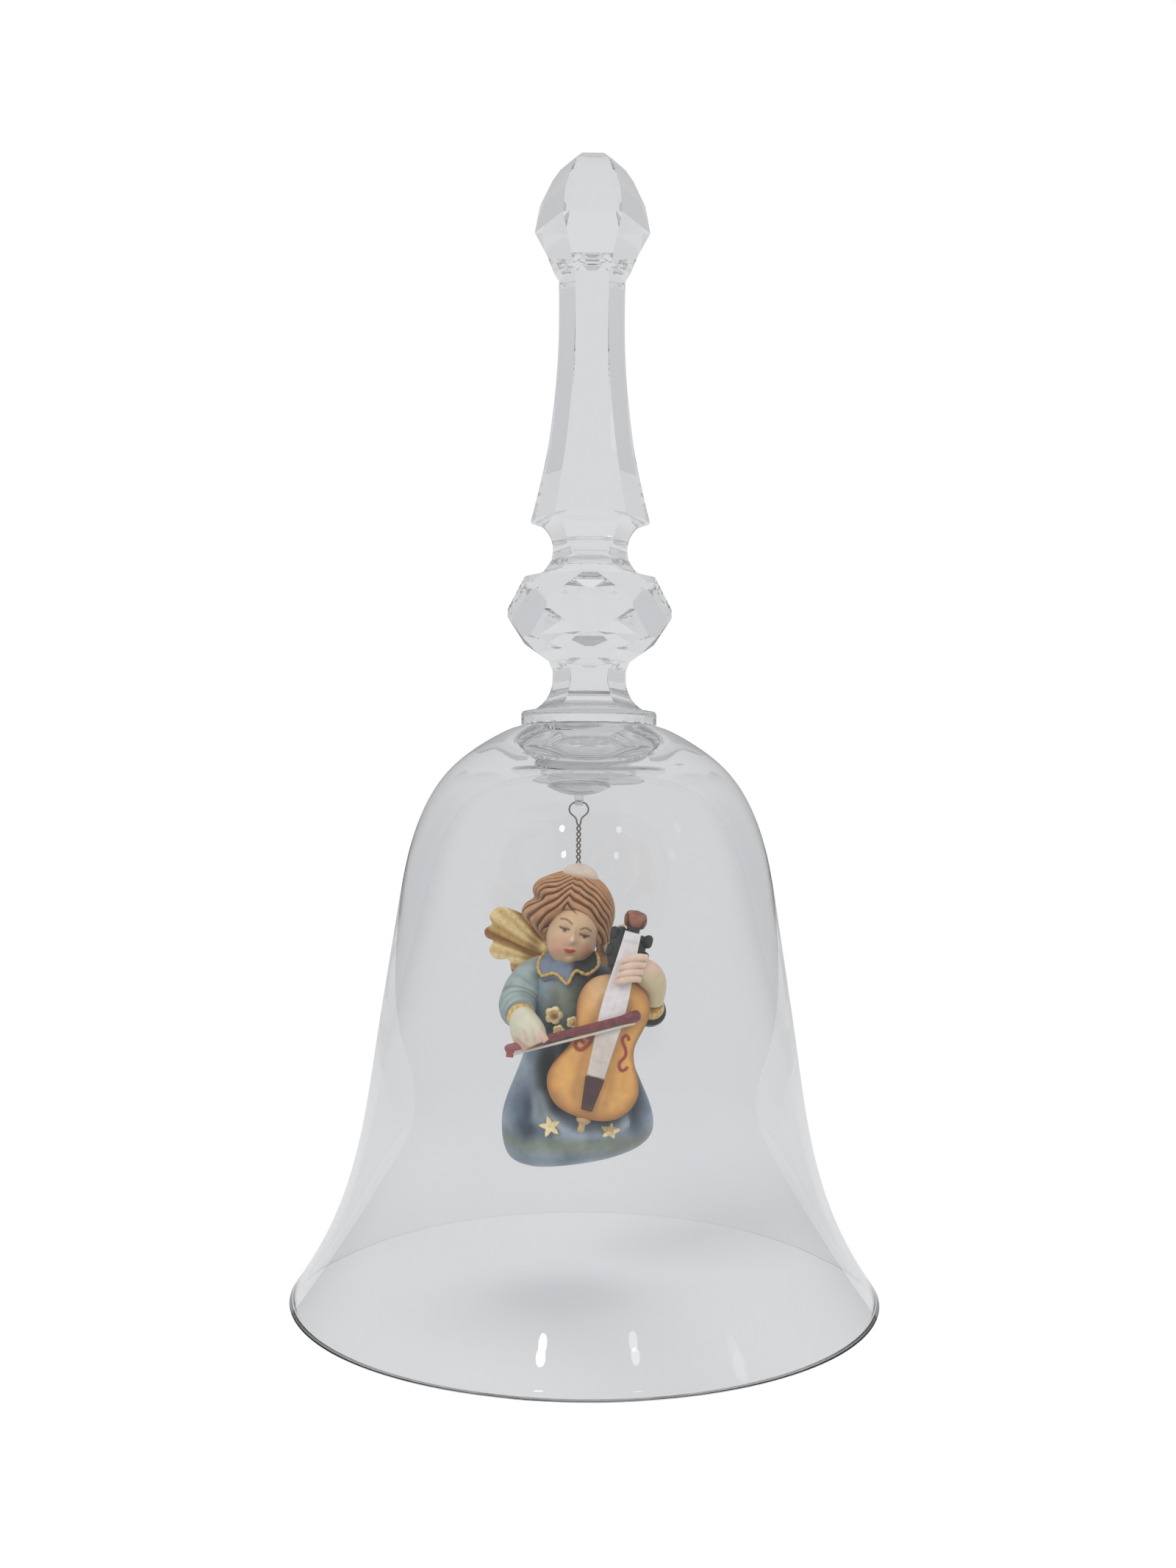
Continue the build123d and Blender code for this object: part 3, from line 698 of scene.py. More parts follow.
def painted_group():
    """Shared effect of thin glazes over carved wood: painted shade darkens the cuts, a painted highlight
    lightens the ridges, and the brush mottles the paint. The same mottling and fine grain give the surface
    its height."""
    group = bpy.data.node_groups.new("carved_and_glazed", "ShaderNodeTree")
    for name, kind, value in (("Cut Shade", "Color", (0.1, 0.1, 0.1, 1)), ("Ridge Highlight", "Color", (1, 1, 1, 1)),
                              ("Cut Shading", "Float", 0.7), ("Ridge Highlighting", "Float", 0.3),
                              ("Mottle", "Float", 0.3), ("Mottle Size", "Float", 700.0),
                              ("Rough", "Float", 0.45)):
        socket = group.interface.new_socket(name, in_out="INPUT", socket_type=f"NodeSocket{kind}")
        socket.default_value = value
    group.interface.new_socket("Color", in_out="OUTPUT", socket_type="NodeSocketColor")
    group.interface.new_socket("Roughness", in_out="OUTPUT", socket_type="NodeSocketFloat")
    group.interface.new_socket("Height", in_out="OUTPUT", socket_type="NodeSocketFloat")
    nodes, links = group.nodes, group.links

    def ranged(low, high, to_low, to_high):
        node = nodes.new("ShaderNodeMapRange")
        node.inputs["From Min"].default_value = low
        node.inputs["From Max"].default_value = high
        node.inputs["To Min"].default_value = to_low
        node.inputs["To Max"].default_value = to_high
        return node

    def times():
        node = nodes.new("ShaderNodeMath")
        node.operation = "MULTIPLY"
        return node

    given, result = nodes.new("NodeGroupInput"), nodes.new("NodeGroupOutput")
    paint, relief = nodes.new("ShaderNodeAttribute"), nodes.new("ShaderNodeAttribute")
    paint.attribute_name, relief.attribute_name = "paint", "relief"
    place = nodes.new("ShaderNodeTexCoord")
    brush, grain = nodes.new("ShaderNodeTexNoise"), nodes.new("ShaderNodeTexNoise")
    brush.inputs["Detail"].default_value = 5
    grain.inputs["Scale"].default_value = 5000
    grain.inputs["Detail"].default_value = 3
    join(links,
         (place, "Object", brush, "Vector"), (place, "Object", grain, "Vector"),
         (given, "Mottle Size", brush, "Scale"))
    deep, high, uneven = ranged(0.5, 0.0, 0, 1), ranged(0.55, 1.0, 0, 1), ranged(0.35, 0.7, -0.5, 0.5)
    join(links,
         (relief, "Fac", deep, "Value"), (relief, "Fac", high, "Value"), (brush, "Fac", uneven, "Value"))
    # Painted shade darkens the colour where the relief is low, in the cuts; a painted highlight lightens it
    # where the relief is high, on the ridges.
    cut_shade_share, highlight_share, mottle_share = times(), times(), times()
    join(links,
         (deep, "Result", cut_shade_share, 0), (given, "Cut Shading", cut_shade_share, 1),
         (high, "Result", highlight_share, 0), (given, "Ridge Highlighting", highlight_share, 1),
         (uneven, "Result", mottle_share, 0), (given, "Mottle", mottle_share, 1))
    cut_shaded, highlighted = nodes.new("ShaderNodeMix"), nodes.new("ShaderNodeMix")
    cut_shaded.data_type = highlighted.data_type = "RGBA"
    join(links,
         (cut_shade_share, 0, cut_shaded, "Factor"), (paint, "Color", cut_shaded, "A"), (given, "Cut Shade", cut_shaded, "B"),
         (highlight_share, 0, highlighted, "Factor"), (cut_shaded, "Result", highlighted, "A"), (given, "Ridge Highlight", highlighted, "B"))
    brightness = nodes.new("ShaderNodeHueSaturation")
    lift = nodes.new("ShaderNodeMath")
    lift.inputs[1].default_value = 1
    join(links,
         (mottle_share, 0, lift, 0), (lift, 0, brightness, "Value"),
         (highlighted, "Result", brightness, "Color"), (brightness, "Color", result, "Color"))
    sheen = nodes.new("ShaderNodeMath")
    join(links, (given, "Rough", sheen, 0))
    softer = ranged(0.3, 0.7, -0.08, 0.12)
    join(links,
         (brush, "Fac", softer, "Value"), (softer, "Result", sheen, 1), (sheen, 0, result, "Roughness"))
    height = nodes.new("ShaderNodeMath")
    join(links, (brush, "Fac", height, 0))
    fine = times()
    fine.inputs[1].default_value = 0.35
    join(links,
         (grain, "Fac", fine, 0), (fine, 0, height, 1), (height, 0, result, "Height"))
    return group


CARVED_AND_GLAZED = painted_group()


def painted(name, cut_shade, ridge_highlight, cut_shading=0.7, ridge_highlighting=0.3, mottle=0.3, mottle_size=700.0, rough=0.45,
            depth=0.00006, metallic=0.0, coat=0.25):
    """A finish of the angel: the shared glaze effect with its own colours for painted shade and painted
    highlight, and its own sheen and surface depth.
    """
    material, nodes, links = new_material(name)
    shader = nodes["Principled BSDF"]
    shader.inputs["Metallic"].default_value = metallic
    shader.inputs["Coat Weight"].default_value = coat
    shader.inputs["Coat Roughness"].default_value = 0.25
    glaze = nodes.new("ShaderNodeGroup")
    glaze.node_tree = CARVED_AND_GLAZED
    glaze.inputs["Cut Shade"].default_value = (*cut_shade, 1)
    glaze.inputs["Ridge Highlight"].default_value = (*ridge_highlight, 1)
    for socket, value in (("Cut Shading", cut_shading), ("Ridge Highlighting", ridge_highlighting), ("Mottle", mottle),
                          ("Mottle Size", mottle_size), ("Rough", rough)):
        glaze.inputs[socket].default_value = value
    bump = nodes.new("ShaderNodeBump")
    bump.inputs["Strength"].default_value = 0.6
    bump.inputs["Distance"].default_value = depth
    join(links,
         (glaze, "Color", shader, "Base Color"), (glaze, "Roughness", shader, "Roughness"),
         (glaze, "Height", bump, "Height"), (bump, "Normal", shader, "Normal"))
    return material


# The near-black dress colour is painted shade wherever it is used: in the cuts, round the cello, on the far
# shoulder, on the collar's far side and at the far wing's root.
DRESS_BLUE, DRESS_PALE = shade(112, 130, 146), shade(158, 172, 184)
DRESS_OLIVE, DRESS_SHADE = shade(128, 134, 110), shade(24, 30, 26)
DRESS_HOLLOW_SHADE, CHEST_GREEN = shade(62, 82, 112), shade(154, 162, 138)
dress_paint = painted("dress_glaze", DRESS_SHADE, DRESS_PALE, 0.8, 0.35, 0.35, 500.0, 0.42)

ovals = smooth_line(DRESS_OVALS, 170)
angle = np.linspace(0, 2 * np.pi, 240, endpoint=False)
z, x_mid, y_mid, half_x, half_y = (column[:, None] for column in ovals.T)
outward = np.stack(np.broadcast_arrays(
    np.sign(np.cos(angle)) * abs(np.cos(angle)) ** SKIRT_SQUARENESS,
    np.sign(np.sin(angle)) * abs(np.sin(angle)) ** SKIRT_SQUARENESS, 0 * z * angle), -1)
dress = np.stack(np.broadcast_arrays(x_mid + half_x * outward[..., 0], y_mid + half_y * outward[..., 1],
                                     z + 0 * angle), -1)
front = np.clip(-outward[..., 1] * 3, 0, 1)
sides = 1 - front
plane = dress[..., [0, 2]]
cut = np.zeros(dress.shape[:2])
for place, reach, depth in (((-9.2, 28.4), (1.3, 3.4), 1.0), ((-8.9, 24.9), (2.4, 1.2), 0.8),
                            ((7.6, 27.4), (1.3, 2.8), 1.0), ((-5.2, 35.5), (1.1, 3.4), 0.9),
                            ((-4.7, 42.6), (0.8, 3.0), 0.6), ((0.4, 44.6), (2.6, 1.3), 0.7)):
    cut = cut + depth * spot(plane, place, reach) * front
lap = stroke(dress, [(-6.2, 30.6), (-5.2, 28.0), (-1.8, 25.1), (2.6, 25.2), (5.8, 26.4)], 0.85) * front
lower = np.exp(-((z - 27) / 9) ** 2)
folds = np.cos(7 * angle + 0.12 * (z - 20)) * lower * sides
dress = dress + outward * (0.6 * lap - cut + 0.35 * folds)[..., None]
dress[..., 2] += 0.14 * (dress[..., 0] - FIGURE_X) * np.clip((25 - dress[..., 2]) / 5.2, 0, 1)

cello_line = smooth_line(CELLO_HALF, 40)
cello_line = np.concatenate([cello_line, cello_line[::-1] * [-1, 1]])
cello_rim = cello_place(np.concatenate([cello_line, np.full((80, 1), 1.5)], 1))[:, [0, 2]]
in_shadow = np.exp(-nearest(dress[..., [0, 2]], cello_rim) / CELLO_SHADOW_REACH ** 2) * front
dress_colour = np.broadcast_to(DRESS_BLUE, dress.shape)
patches = 0.5 + 0.5 * np.sin(0.9 * dress[..., 0] + 0.7 * dress[..., 2] + 1.5 * np.sin(0.5 * dress[..., 2]))
dress_colour = mix(dress_colour, DRESS_PALE, 0.55 * patches)
dress_colour = mix(dress_colour, DRESS_OLIVE, 0.8 * np.exp(-((dress[..., 2] - 23.0) / 1.5) ** 2) * front)
dress_colour = mix(dress_colour, DRESS_OLIVE, 0.8 * spot(plane, (-3.4, 44.0), (3.2, 2.6)) * front)
dress_colour = mix(dress_colour, DRESS_OLIVE, 0.7 * spot(plane, (-5.6, 29.5), (1.6, 2.4)) * front)
# Painted shade in deep blue in the hollows cut for the folds.
dress_colour = mix(dress_colour, DRESS_HOLLOW_SHADE, 0.85 * np.clip(cut, 0, 1))
# Painted highlight along the raised lap.
dress_colour = mix(dress_colour, DRESS_PALE, 0.8 * lap)
dress_colour = mix(dress_colour, DRESS_SHADE, 0.95 * in_shadow * (1 - 0.8 * lap))
# Painted shade: dark patches under the near hand, down the cello's left edge and on the far shoulder behind
# the cello's neck.
for place, reach in (((3.0, 47.4), (3.4, 4.0)), ((-6.2, 35.2), (1.3, 3.2)), ((-5.6, 31.6), (1.2, 2.6)),
                     ((-4.4, 28.9), (1.3, 1.2)), ((-5.2, 40.6), (1.2, 2.0)), ((6.2, 46.0), (2.0, 3.0))):
    dress_colour = mix(dress_colour, DRESS_SHADE, 0.9 * spot(plane, place, reach) * front)
dress_colour = mix(dress_colour, CHEST_GREEN, 0.75 * spot(plane, (-3.0, 45.2), (2.0, 2.3)) * front)
bottom, top = (np.broadcast_to(dress[i].mean(0), (1, 240, 3)) for i in (0, -1))
dress_relief = 0.5 + 0.4 * lap - 0.35 * np.clip(cut, 0, 1) + 0.12 * folds
dress_piece = make_piece("angel_dress_carved", [grid_part(
    np.concatenate([bottom, dress, top]),
    np.concatenate([dress_colour[:1], dress_colour, dress_colour[-1:]]),
    np.concatenate([dress_relief[:1], dress_relief, dress_relief[-1:]]))], dress_paint)
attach(dress_piece, "angel")
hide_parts("angel_dress")


# ---- Head ----
# Carved with the neck, tipped to one side and looking down at the strings. A calm doll's face: low
# relief for brow, cheeks, nose and chin, with the eyes, brows and lips painted on.
HEAD_AT = np.array([-2.1, -1.6, 54.2])
HEAD_HALF = np.array([3.9, 4.3, 5.1])
SKIN, SKIN_PINK, SKIN_PALE = shade(206, 172, 134), shade(216, 150, 126), shade(236, 214, 190)
BROWN, LIP_RED = shade(84, 54, 40), shade(186, 52, 46)
LEFT_EYE, RIGHT_EYE = (-3.31, 54.75), (-0.39, 53.8)


def tilted(points, about, x_turn, y_turn):
    """Points turned about a centre, first round Y and then round X, in degrees."""
    a, b = math.radians(x_turn), math.radians(y_turn)
    round_y = np.array([[math.cos(b), 0, math.sin(b)], [0, 1, 0], [-math.sin(b), 0, math.cos(b)]])
    round_x = np.array([[1, 0, 0], [0, math.cos(a), -math.sin(a)], [0, math.sin(a), math.cos(a)]])
    return (points - about) @ (round_x @ round_y).T + about


head = tilted(ball(HEAD_AT, HEAD_HALF, 200, 260), HEAD_AT, 8, 14)
looks = np.clip(-(head[..., 1] - HEAD_AT[1]) / 2.5, 0, 1)
face = head[..., [0, 2]]
raised = 0.85 * spot(face, (-2.15, 53.3), (0.5, 0.62)) + 0.4 * spot(face, (-1.95, 54.5), (0.38, 1.0))
raised = raised + 0.35 * spot(face, (-4.15, 52.4), (1.1, 1.1)) + 0.35 * spot(face, (0.1, 51.9), (1.0, 1.1))
raised = raised + 0.3 * spot(face, (-2.53, 51.75), (0.85, 0.42))
raised = raised + 0.35 * spot(face, (-2.65, 50.2), (0.8, 0.6))
raised = raised - 0.34 * spot(face, LEFT_EYE, (0.85, 0.5)) - 0.34 * spot(face, RIGHT_EYE, (0.85, 0.5))
raised = raised - 0.12 * spot(face, (-2.6, 51.0), (0.7, 0.2))
head[..., 1] -= raised * looks
head_colour = np.broadcast_to(SKIN, head.shape)
head_colour = mix(head_colour, SKIN_PINK, 0.7 * looks * (
    spot(face, (-4.2, 52.3), (1.3, 1.2)) + spot(face, (0.1, 51.8), (1.1, 1.2))))
# Painted highlight on the tip of the nose.
head_colour = mix(head_colour, SKIN_PALE, 0.75 * looks * spot(face, (-2.15, 53.3), (0.35, 0.4)))
for eye, brow in ((LEFT_EYE, [(-3.85, 56.2), (-3.1, 56.15), (-2.2, 55.5)]),
                  (RIGHT_EYE, [(-0.95, 54.75), (-0.25, 54.95), (0.55, 54.5)])):
    x, z = eye
    head_colour = mix(head_colour, SKIN_PALE, 0.55 * looks * spot(face, eye, (0.55, 0.25)))
    lid = stroke(head, [(x - 0.62, z + 0.32), (x - 0.05, z + 0.12), (x + 0.66, z + 0.02)], 0.17)
    head_colour = mix(head_colour, BROWN, 0.95 * looks * lid)
    head_colour = mix(head_colour, BROWN * 0.5, 1.3 * looks * spot(face, (x + 0.05, z - 0.08), (0.31, 0.26)))
    head_colour = mix(head_colour, BROWN, 0.85 * looks * stroke(head, brow, 0.13))
lips = spot(face, (-2.53, 51.62), (0.66, 0.27)) + 0.8 * spot(face, (-2.95, 51.95), (0.4, 0.2))
lips = lips + 0.8 * spot(face, (-2.1, 51.85), (0.42, 0.2))
head_colour = mix(head_colour, LIP_RED, np.clip(1.7 * lips - 0.35, 0, 1) * looks)
mouth = stroke(head, [(-3.4, 51.95), (-2.5, 51.72), (-1.7, 51.7)], 0.09)
head_colour = mix(head_colour, LIP_RED * 0.4, 0.8 * looks * mouth)
neck_path = np.linspace((-2.0, 0.2, 47.6), (-2.1, -0.6, 52.0), 30)
skin_paint = painted("skin_glaze", shade(150, 104, 74), SKIN_PALE, 0.6, 0.2, 0.12, 900.0, 0.38, 0.00003)
# The neck is painted darker than the face, as painted shade under the chin.
head_piece = make_piece("angel_head_carved", [
    grid_part(head, head_colour, 0.5 + 0.3 * np.clip(raised, -1, 1) * looks),
    grid_part(tube(neck_path, [1.9] * 30, (0, 1, 0), 48), SKIN * 0.75)], skin_paint)
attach(head_piece, "angel")
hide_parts("angel_head")


# ---- Hair ----
# Thick carved curls: locks are combed from a parting to both sides, wave as they fall and turn up
# at their ends. The carver left the face open, with a fringe falling to one side.
HAIR_AT = np.array([-2.2, 0.6, 57.3])
HAIR_HALF = np.array([6.1, 5.8, 5.6])
# The groove colour is painted shade in the cuts, and the ridge colour a painted highlight on the locks.
HAIR_BASE, HAIR_GROOVE, HAIR_RIDGE = shade(142, 88, 42), shade(74, 38, 16), shade(220, 174, 128)
LOCKS = 17
FACE_OPENING_AT, FACE_OPENING_HALF = (-2.85, 53.4), (3.75, 4.5)
HAIR_FOOT_Z = 51.6

way = ball((0, 0, 0), (1, 1, 1), 236, 410)
lift = np.arcsin(np.clip(way[..., 2], -1, 1))
round_head = np.arctan2(way[..., 0], -way[..., 1])
from_parting = abs(round_head + 0.07 * (1 + np.cos(round_head)))
left_side_hair = 0.5 * (1 - np.tanh(9 * round_head)) * (1 + np.cos(round_head)) / 2
comb = lift + (0.72 + 0.30 * left_side_hair) * from_parting
comb = comb + 0.13 * from_parting ** 2 + 0.085 * left_side_hair
comb = comb + 0.11 * np.sin(3.4 * from_parting + 2.2 * lift + 0.6)
comb = comb + 0.02 * np.sin(9 * from_parting - 4 * lift)
comb = comb + 0.035 * np.sin(7 * comb + 2 * round_head) + 0.04 * left_side_hair * np.sin(5 * from_parting)
sweep = LOCKS * comb
lock = abs(np.sin(sweep)) ** 0.75
strand = 0.5 + 0.5 * np.cos(6 * sweep + 3 * from_parting)
fade_in = np.clip((np.pi / 2 - lift) / 0.4, 0, 1)
bulk = 0.9 * spot(way, (-0.80, -0.45, 0.42), (0.34, 0.6, 0.28))
bulk = bulk + 1.6 * spot(way, (-0.94, -0.4, -0.22), (0.3, 0.6, 0.27))
bulk = bulk + 1.3 * spot(way, (0.85, -0.45, -0.55), (0.3, 0.4, 0.22))
bulk = bulk - 0.8 * spot(way, (-0.95, -0.4, 0.14), (0.3, 0.6, 0.10))
hair = HAIR_AT + way * HAIR_HALF
hair = hair + way * (fade_in * (0.55 * lock + 0.07 * strand) + bulk - 0.3)[..., None]
hair = tilted(hair, HAIR_AT, 0, 10)
view = hair[..., [0, 2]]
opening = (view - FACE_OPENING_AT) / FACE_OPENING_HALF
inside_oval = 1 - (opening ** 2).sum(-1)
fringe = (view[..., 1] - 56.9) + 0.95 * (view[..., 0] + 1.9)
open_face = np.clip(inside_oval * 3.2, 0, 1) * np.clip(-fringe * 1.6 + 0.4, 0, 1)
open_face = open_face * np.clip(-(hair[..., 1] + 0.4) / 1.2, 0, 1)
hair = hair + (HEAD_AT + [0, 1.2, 0.4] - hair) * (0.55 * open_face)[..., None]
under = np.clip((HAIR_FOOT_Z - hair[..., 2]) / 1.2, 0, 1)[..., None]
hair[..., 2:] += 0.85 * under * (HAIR_FOOT_Z - hair[..., 2:]) * 0.9
# Painted shade: darker between the fine strands, and in a band round the edge of the face opening where the
# hair meets the face.
hair_colour = mix(np.broadcast_to(HAIR_BASE, hair.shape), HAIR_GROOVE, 0.35 * (1 - strand))
hair_colour = mix(hair_colour, HAIR_GROOVE, 0.6 * np.clip(4 * open_face * (1 - open_face), 0, 1))
hair_paint = painted("hair_glaze", HAIR_GROOVE * 0.8, HAIR_RIDGE, 0.9, 0.5, 0.3, 900.0, 0.4)
hair_piece = make_piece("angel_hair_carved", [grid_part(hair, hair_colour, np.clip(lock * 1.15, 0, 1))],
                        hair_paint, sharp=80)
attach(hair_piece, "angel")
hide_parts("angel_hair")


# ---- Glue bead ----
# A cloudy bead of glue run over the crown of the hair, where the wire's twist goes in.
BEAD_AT = (-1.1, -0.3, 62.7)
BEAD_HALF = (2.7, 2.4, 1.55)
BEAD_SAG = 0.16
bead = ball(BEAD_AT, BEAD_HALF, 40, 60)
bead[..., 2] -= BEAD_SAG * np.clip(bead[..., 0] - BEAD_AT[0], 0, 3) ** 1.4
bead_piece = make_piece("glue_bead_clear", [grid_part(bead)],
                        clear_glass("bead_glue", (0.86, 0.80, 0.70), 500.0, 0.0001, 0.3, 1.4, clear=0.45))
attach(bead_piece, "angel")
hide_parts("glue_bead")


# ---- Collar ----
# A broad collar with a scalloped edge, picked out with a raised gilt line. It is cut in the same
# wood as the dress; the far side, by the cello's neck, is darkened almost to black as painted shade.
COLLAR_EDGE = [(1.2, -1.6, 51.4), (1.65, -3.4, 50.7), (1.6, -4.3, 49.6), (0.9, -4.8, 48.9),
               (-0.3, -5.1, 48.45), (-1.45, -5.25, 48.95), (-2.1, -5.35, 48.4), (-2.85, -5.45, 47.1),
               (-3.75, -5.25, 47.85),
               (-5.05, -4.8, 48.55), (-6.5, -4.0, 48.15), (-7.1, -3.2, 48.9), (-7.0, -2.0, 50.4),
               (-5.9, -0.6, 51.5), (-4.6, 2.4, 51.1), (-2.2, 3.6, 50.8), (0.2, 2.2, 51.1), (1.2, -1.6, 51.4)]
COLLAR_DROP = 0.75
THROAT_AT, THROAT_R = (-2.05, -0.6, 51.0), 1.9

edge = smooth_line(COLLAR_EDGE, 260)[:-1]
edge_angle = np.arctan2(edge[:, 1] - THROAT_AT[1], edge[:, 0] - THROAT_AT[0])
throat = np.stack([THROAT_AT[0] + THROAT_R * np.cos(edge_angle), THROAT_AT[1] + THROAT_R * np.sin(edge_angle),
                   0 * edge_angle + THROAT_AT[2]], -1)
share = np.linspace(0, 1, 12)[:, None, None]
flap = throat * (1 - share) + edge * share + [0, 0, 1] * (0.5 * np.sin(np.pi * share))
underside = flap[::-1] - [0, -0.5, COLLAR_DROP]
flap = np.concatenate([flap, underside, flap[:1]])
# Painted shade: the far side of the collar turns dark towards the cello's neck.
flap_colour = mix(np.broadcast_to(shade(118, 132, 152), flap.shape), DRESS_SHADE,
                  np.clip((flap[..., 0] + 2.6) / 0.8, 0, 1))
collar_flap = make_piece("collar_flap", [grid_part(flap, flap_colour, 0.5)], dress_paint)
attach(collar_flap, "angel")

GOLD, GOLD_PALE, GOLD_OCHRE = shade(222, 182, 104), shade(252, 232, 178), shade(146, 92, 34)
gilding = painted("gilding", GOLD_OCHRE, GOLD_PALE, 0.85, 0.6, 0.3, 1500.0, 0.34, 0.00008, 0.4, 0.1)
closed_edge = np.concatenate([edge, edge[:1]])
trim = tube(closed_edge, 0.24 + 0.05 * np.sin(np.arange(260) * 0.9)[:, None] * [1, 1], (0, 0.3, 1), 14)
collar_trim = make_piece("collar_trim_gilt", [grid_part(trim, GOLD)], gilding)
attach(collar_trim, "angel")
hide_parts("collar_trim")


# ---- Sleeves ----
# Full sleeves cut in one with the shoulders, creased at the elbow. The near one is pale blue-green;
# the one behind the cello is darkened as painted shade. Each is painted lighter along its top, as
# painted light from above.
SLEEVES = (
    ("right", [(-6.0, 0.8, 49.4), (-7.9, 0.2, 47.6), (-9.9, -1.6, 44.6), (-10.1, -3.8, 43.2),
               (-9.5, -6.8, 42.7)],
     [1.9, 2.9, 2.95, 2.7, 2.15], shade(112, 134, 142), shade(152, 168, 164)),
    ("left", [(3.0, 0.8, 49.0), (5.0, 0.2, 47.2), (7.9, -1.4, 44.4), (9.2, -3.2, 43.1), (9.4, -4.9, 43.2)],
     [1.8, 2.8, 2.8, 2.5, 2.15], shade(28, 38, 34), shade(66, 90, 74)),
)
for side_name, path, radii, colour, light in SLEEVES:
    line = smooth_line([(*point, radius) for point, radius in zip(path, radii)], 110)
    along = np.linspace(0, 1, 110)[:, None]
    turn = np.linspace(0, 2 * np.pi, 80, endpoint=False)
    crease = np.sin(34 * along + 2.4 * np.sin(turn)) * np.exp(-((along - 0.6) / 0.24) ** 2)
    sleeve = tube(line[:, :3], line[:, 3], (0.3, 1, 0.4), 80)
    centre = np.concatenate([line[:1, :3], line[:, :3], line[-1:, :3]])[:, None]
    ripple = np.concatenate([0 * crease[:1], crease, 0 * crease[:1]])
    sleeve = centre + (sleeve - centre) * (1 + 0.012 * ripple[..., None])
    # Painted light: the top of each sleeve takes its lighter colour, the underside its darker one.
    painted_top_light = np.clip((sleeve[..., 2] - centre[..., 2]) / 3 + 0.4, 0, 1)
    sleeve_colour = mix(np.broadcast_to(colour, sleeve.shape), light, painted_top_light)
    piece = make_piece(f"{side_name}_sleeve_carved",
                       [grid_part(sleeve, sleeve_colour, 0.5 + 0.22 * ripple)], dress_paint)
    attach(piece, "angel")
    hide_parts(f"{side_name}_sleeve")


# ---- Cuffs ----
# A thick rolled edge at each wrist, gilded.
CUFFS = (("right", (-9.6, -7.3, 42.9), (-9.1, -8.7, 42.0), 2.1),
         ("left", (9.4, -5.2, 43.2), (9.4, -6.6, 44.3), 1.85))
for side_name, start, end, radius in CUFFS:
    share = np.linspace(0, 1, 24)
    line = np.array(start) + share[:, None] * (np.array(end) - start)
    swell = radius * (0.86 + 0.14 * np.sin(np.pi * share))
    roll = tube(line, swell, (0, 0, 1), 60)
    bead_edge = 0.6 + 0.2 * np.cos(np.linspace(0, 2 * np.pi, 60, endpoint=False) * 14)[None]
    piece = make_piece(f"{side_name}_cuff_gilt", [grid_part(roll, GOLD, bead_edge)], gilding)
    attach(piece, "angel")
    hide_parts(f"{side_name}_cuff")


# ---- Hands ----
# The near hand is a soft fist round the bow's end. The far hand comes up behind the cello and lays
# four fingers over the strings.
HAND_PALE = shade(206, 202, 178)
HAND_PINK = shade(214, 180, 160)
FINGER_ROOT, FINGER_STEP = np.array([8.3, -11.3, 51.1]), np.array([-0.32, 0, -0.98])
FINGER = np.array([(0, 0, 0, 0.5), (-1.2, -0.7, 0.1, 0.55), (-2.5, -0.75, -0.2, 0.52),
                   (-3.3, -0.2, -0.5, 0.36)])
fist_line = smooth_line([(-9.1, -8.6, 42.4, 1.8), (-8.6, -10.4, 41.3, 2.3), (-7.9, -11.5, 39.9, 2.4),
                         (-7.2, -12.0, 38.5, 1.8)], 60)
fist = tube(fist_line[:, :3], fist_line[:, 3], (0, 1, 0), 64)
fist_centre = np.concatenate([fist_line[:1, :3], fist_line[:, :3], fist_line[-1:, :3]])[:, None]
knuckle = stroke(fist, [(-9.6, 39.6), (-8.0, 38.4), (-6.4, 39.0)], 0.3)
knuckle = knuckle + 0.8 * stroke(fist, [(-8.7, 41.0), (-8.3, 39.6)], 0.2)
knuckle = knuckle + 0.8 * stroke(fist, [(-7.4, 41.0), (-7.1, 39.4)], 0.2)
fist = fist_centre + (fist - fist_centre) * (1 - 0.05 * knuckle[..., None])
fist_colour = mix(np.broadcast_to(HAND_PALE, fist.shape), HAND_PINK,
                  np.clip((41.0 - fist[..., 2]) / 2.6, 0, 1))
thumb_line = smooth_line([(-7.4, -12.2, 40.8, 0.8), (-6.3, -12.7, 40.1, 0.75), (-5.6, -12.8, 39.4, 0.5)], 24)
thumb = tube(thumb_line[:, :3], thumb_line[:, 3], (0, 1, 0), 28)
right_hand = make_piece("right_hand_carved", [
    grid_part(fist, fist_colour, 0.5 - 0.3 * np.clip(knuckle, 0, 1)),
    grid_part(thumb, HAND_PINK)], skin_paint)
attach(right_hand, "angel")
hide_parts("right_hand")

palm_line = smooth_line([(9.4, -6.4, 44.8, 1.7), (9.5, -8.0, 47.2, 1.9), (8.4, -9.6, 49.0, 1.9),
                         (7.0, -10.2, 49.8, 1.4)], 50)
palm = tube(palm_line[:, :3], palm_line[:, 3], (0, 1, 0), 60)
palm_colour = mix(np.broadcast_to(shade(206, 190, 152), palm.shape), HAND_PINK,
                  np.clip((palm[..., 2] - 48) / 2, 0, 1))
hand_parts = [grid_part(palm, palm_colour)]
for finger in range(4):
    root = FINGER_ROOT + finger * FINGER_STEP
    finger_line = smooth_line(FINGER + [*root, 0], 30)
    hand_parts.append(grid_part(tube(finger_line[:, :3], finger_line[:, 3], (0, 1, 0.2), 28),
                                mix(HAND_PINK[None, None], SKIN_PALE, np.array([[0.35]]))))
left_hand = make_piece("left_hand_carved", hand_parts, skin_paint)
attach(left_hand, "angel")
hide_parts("left_hand")


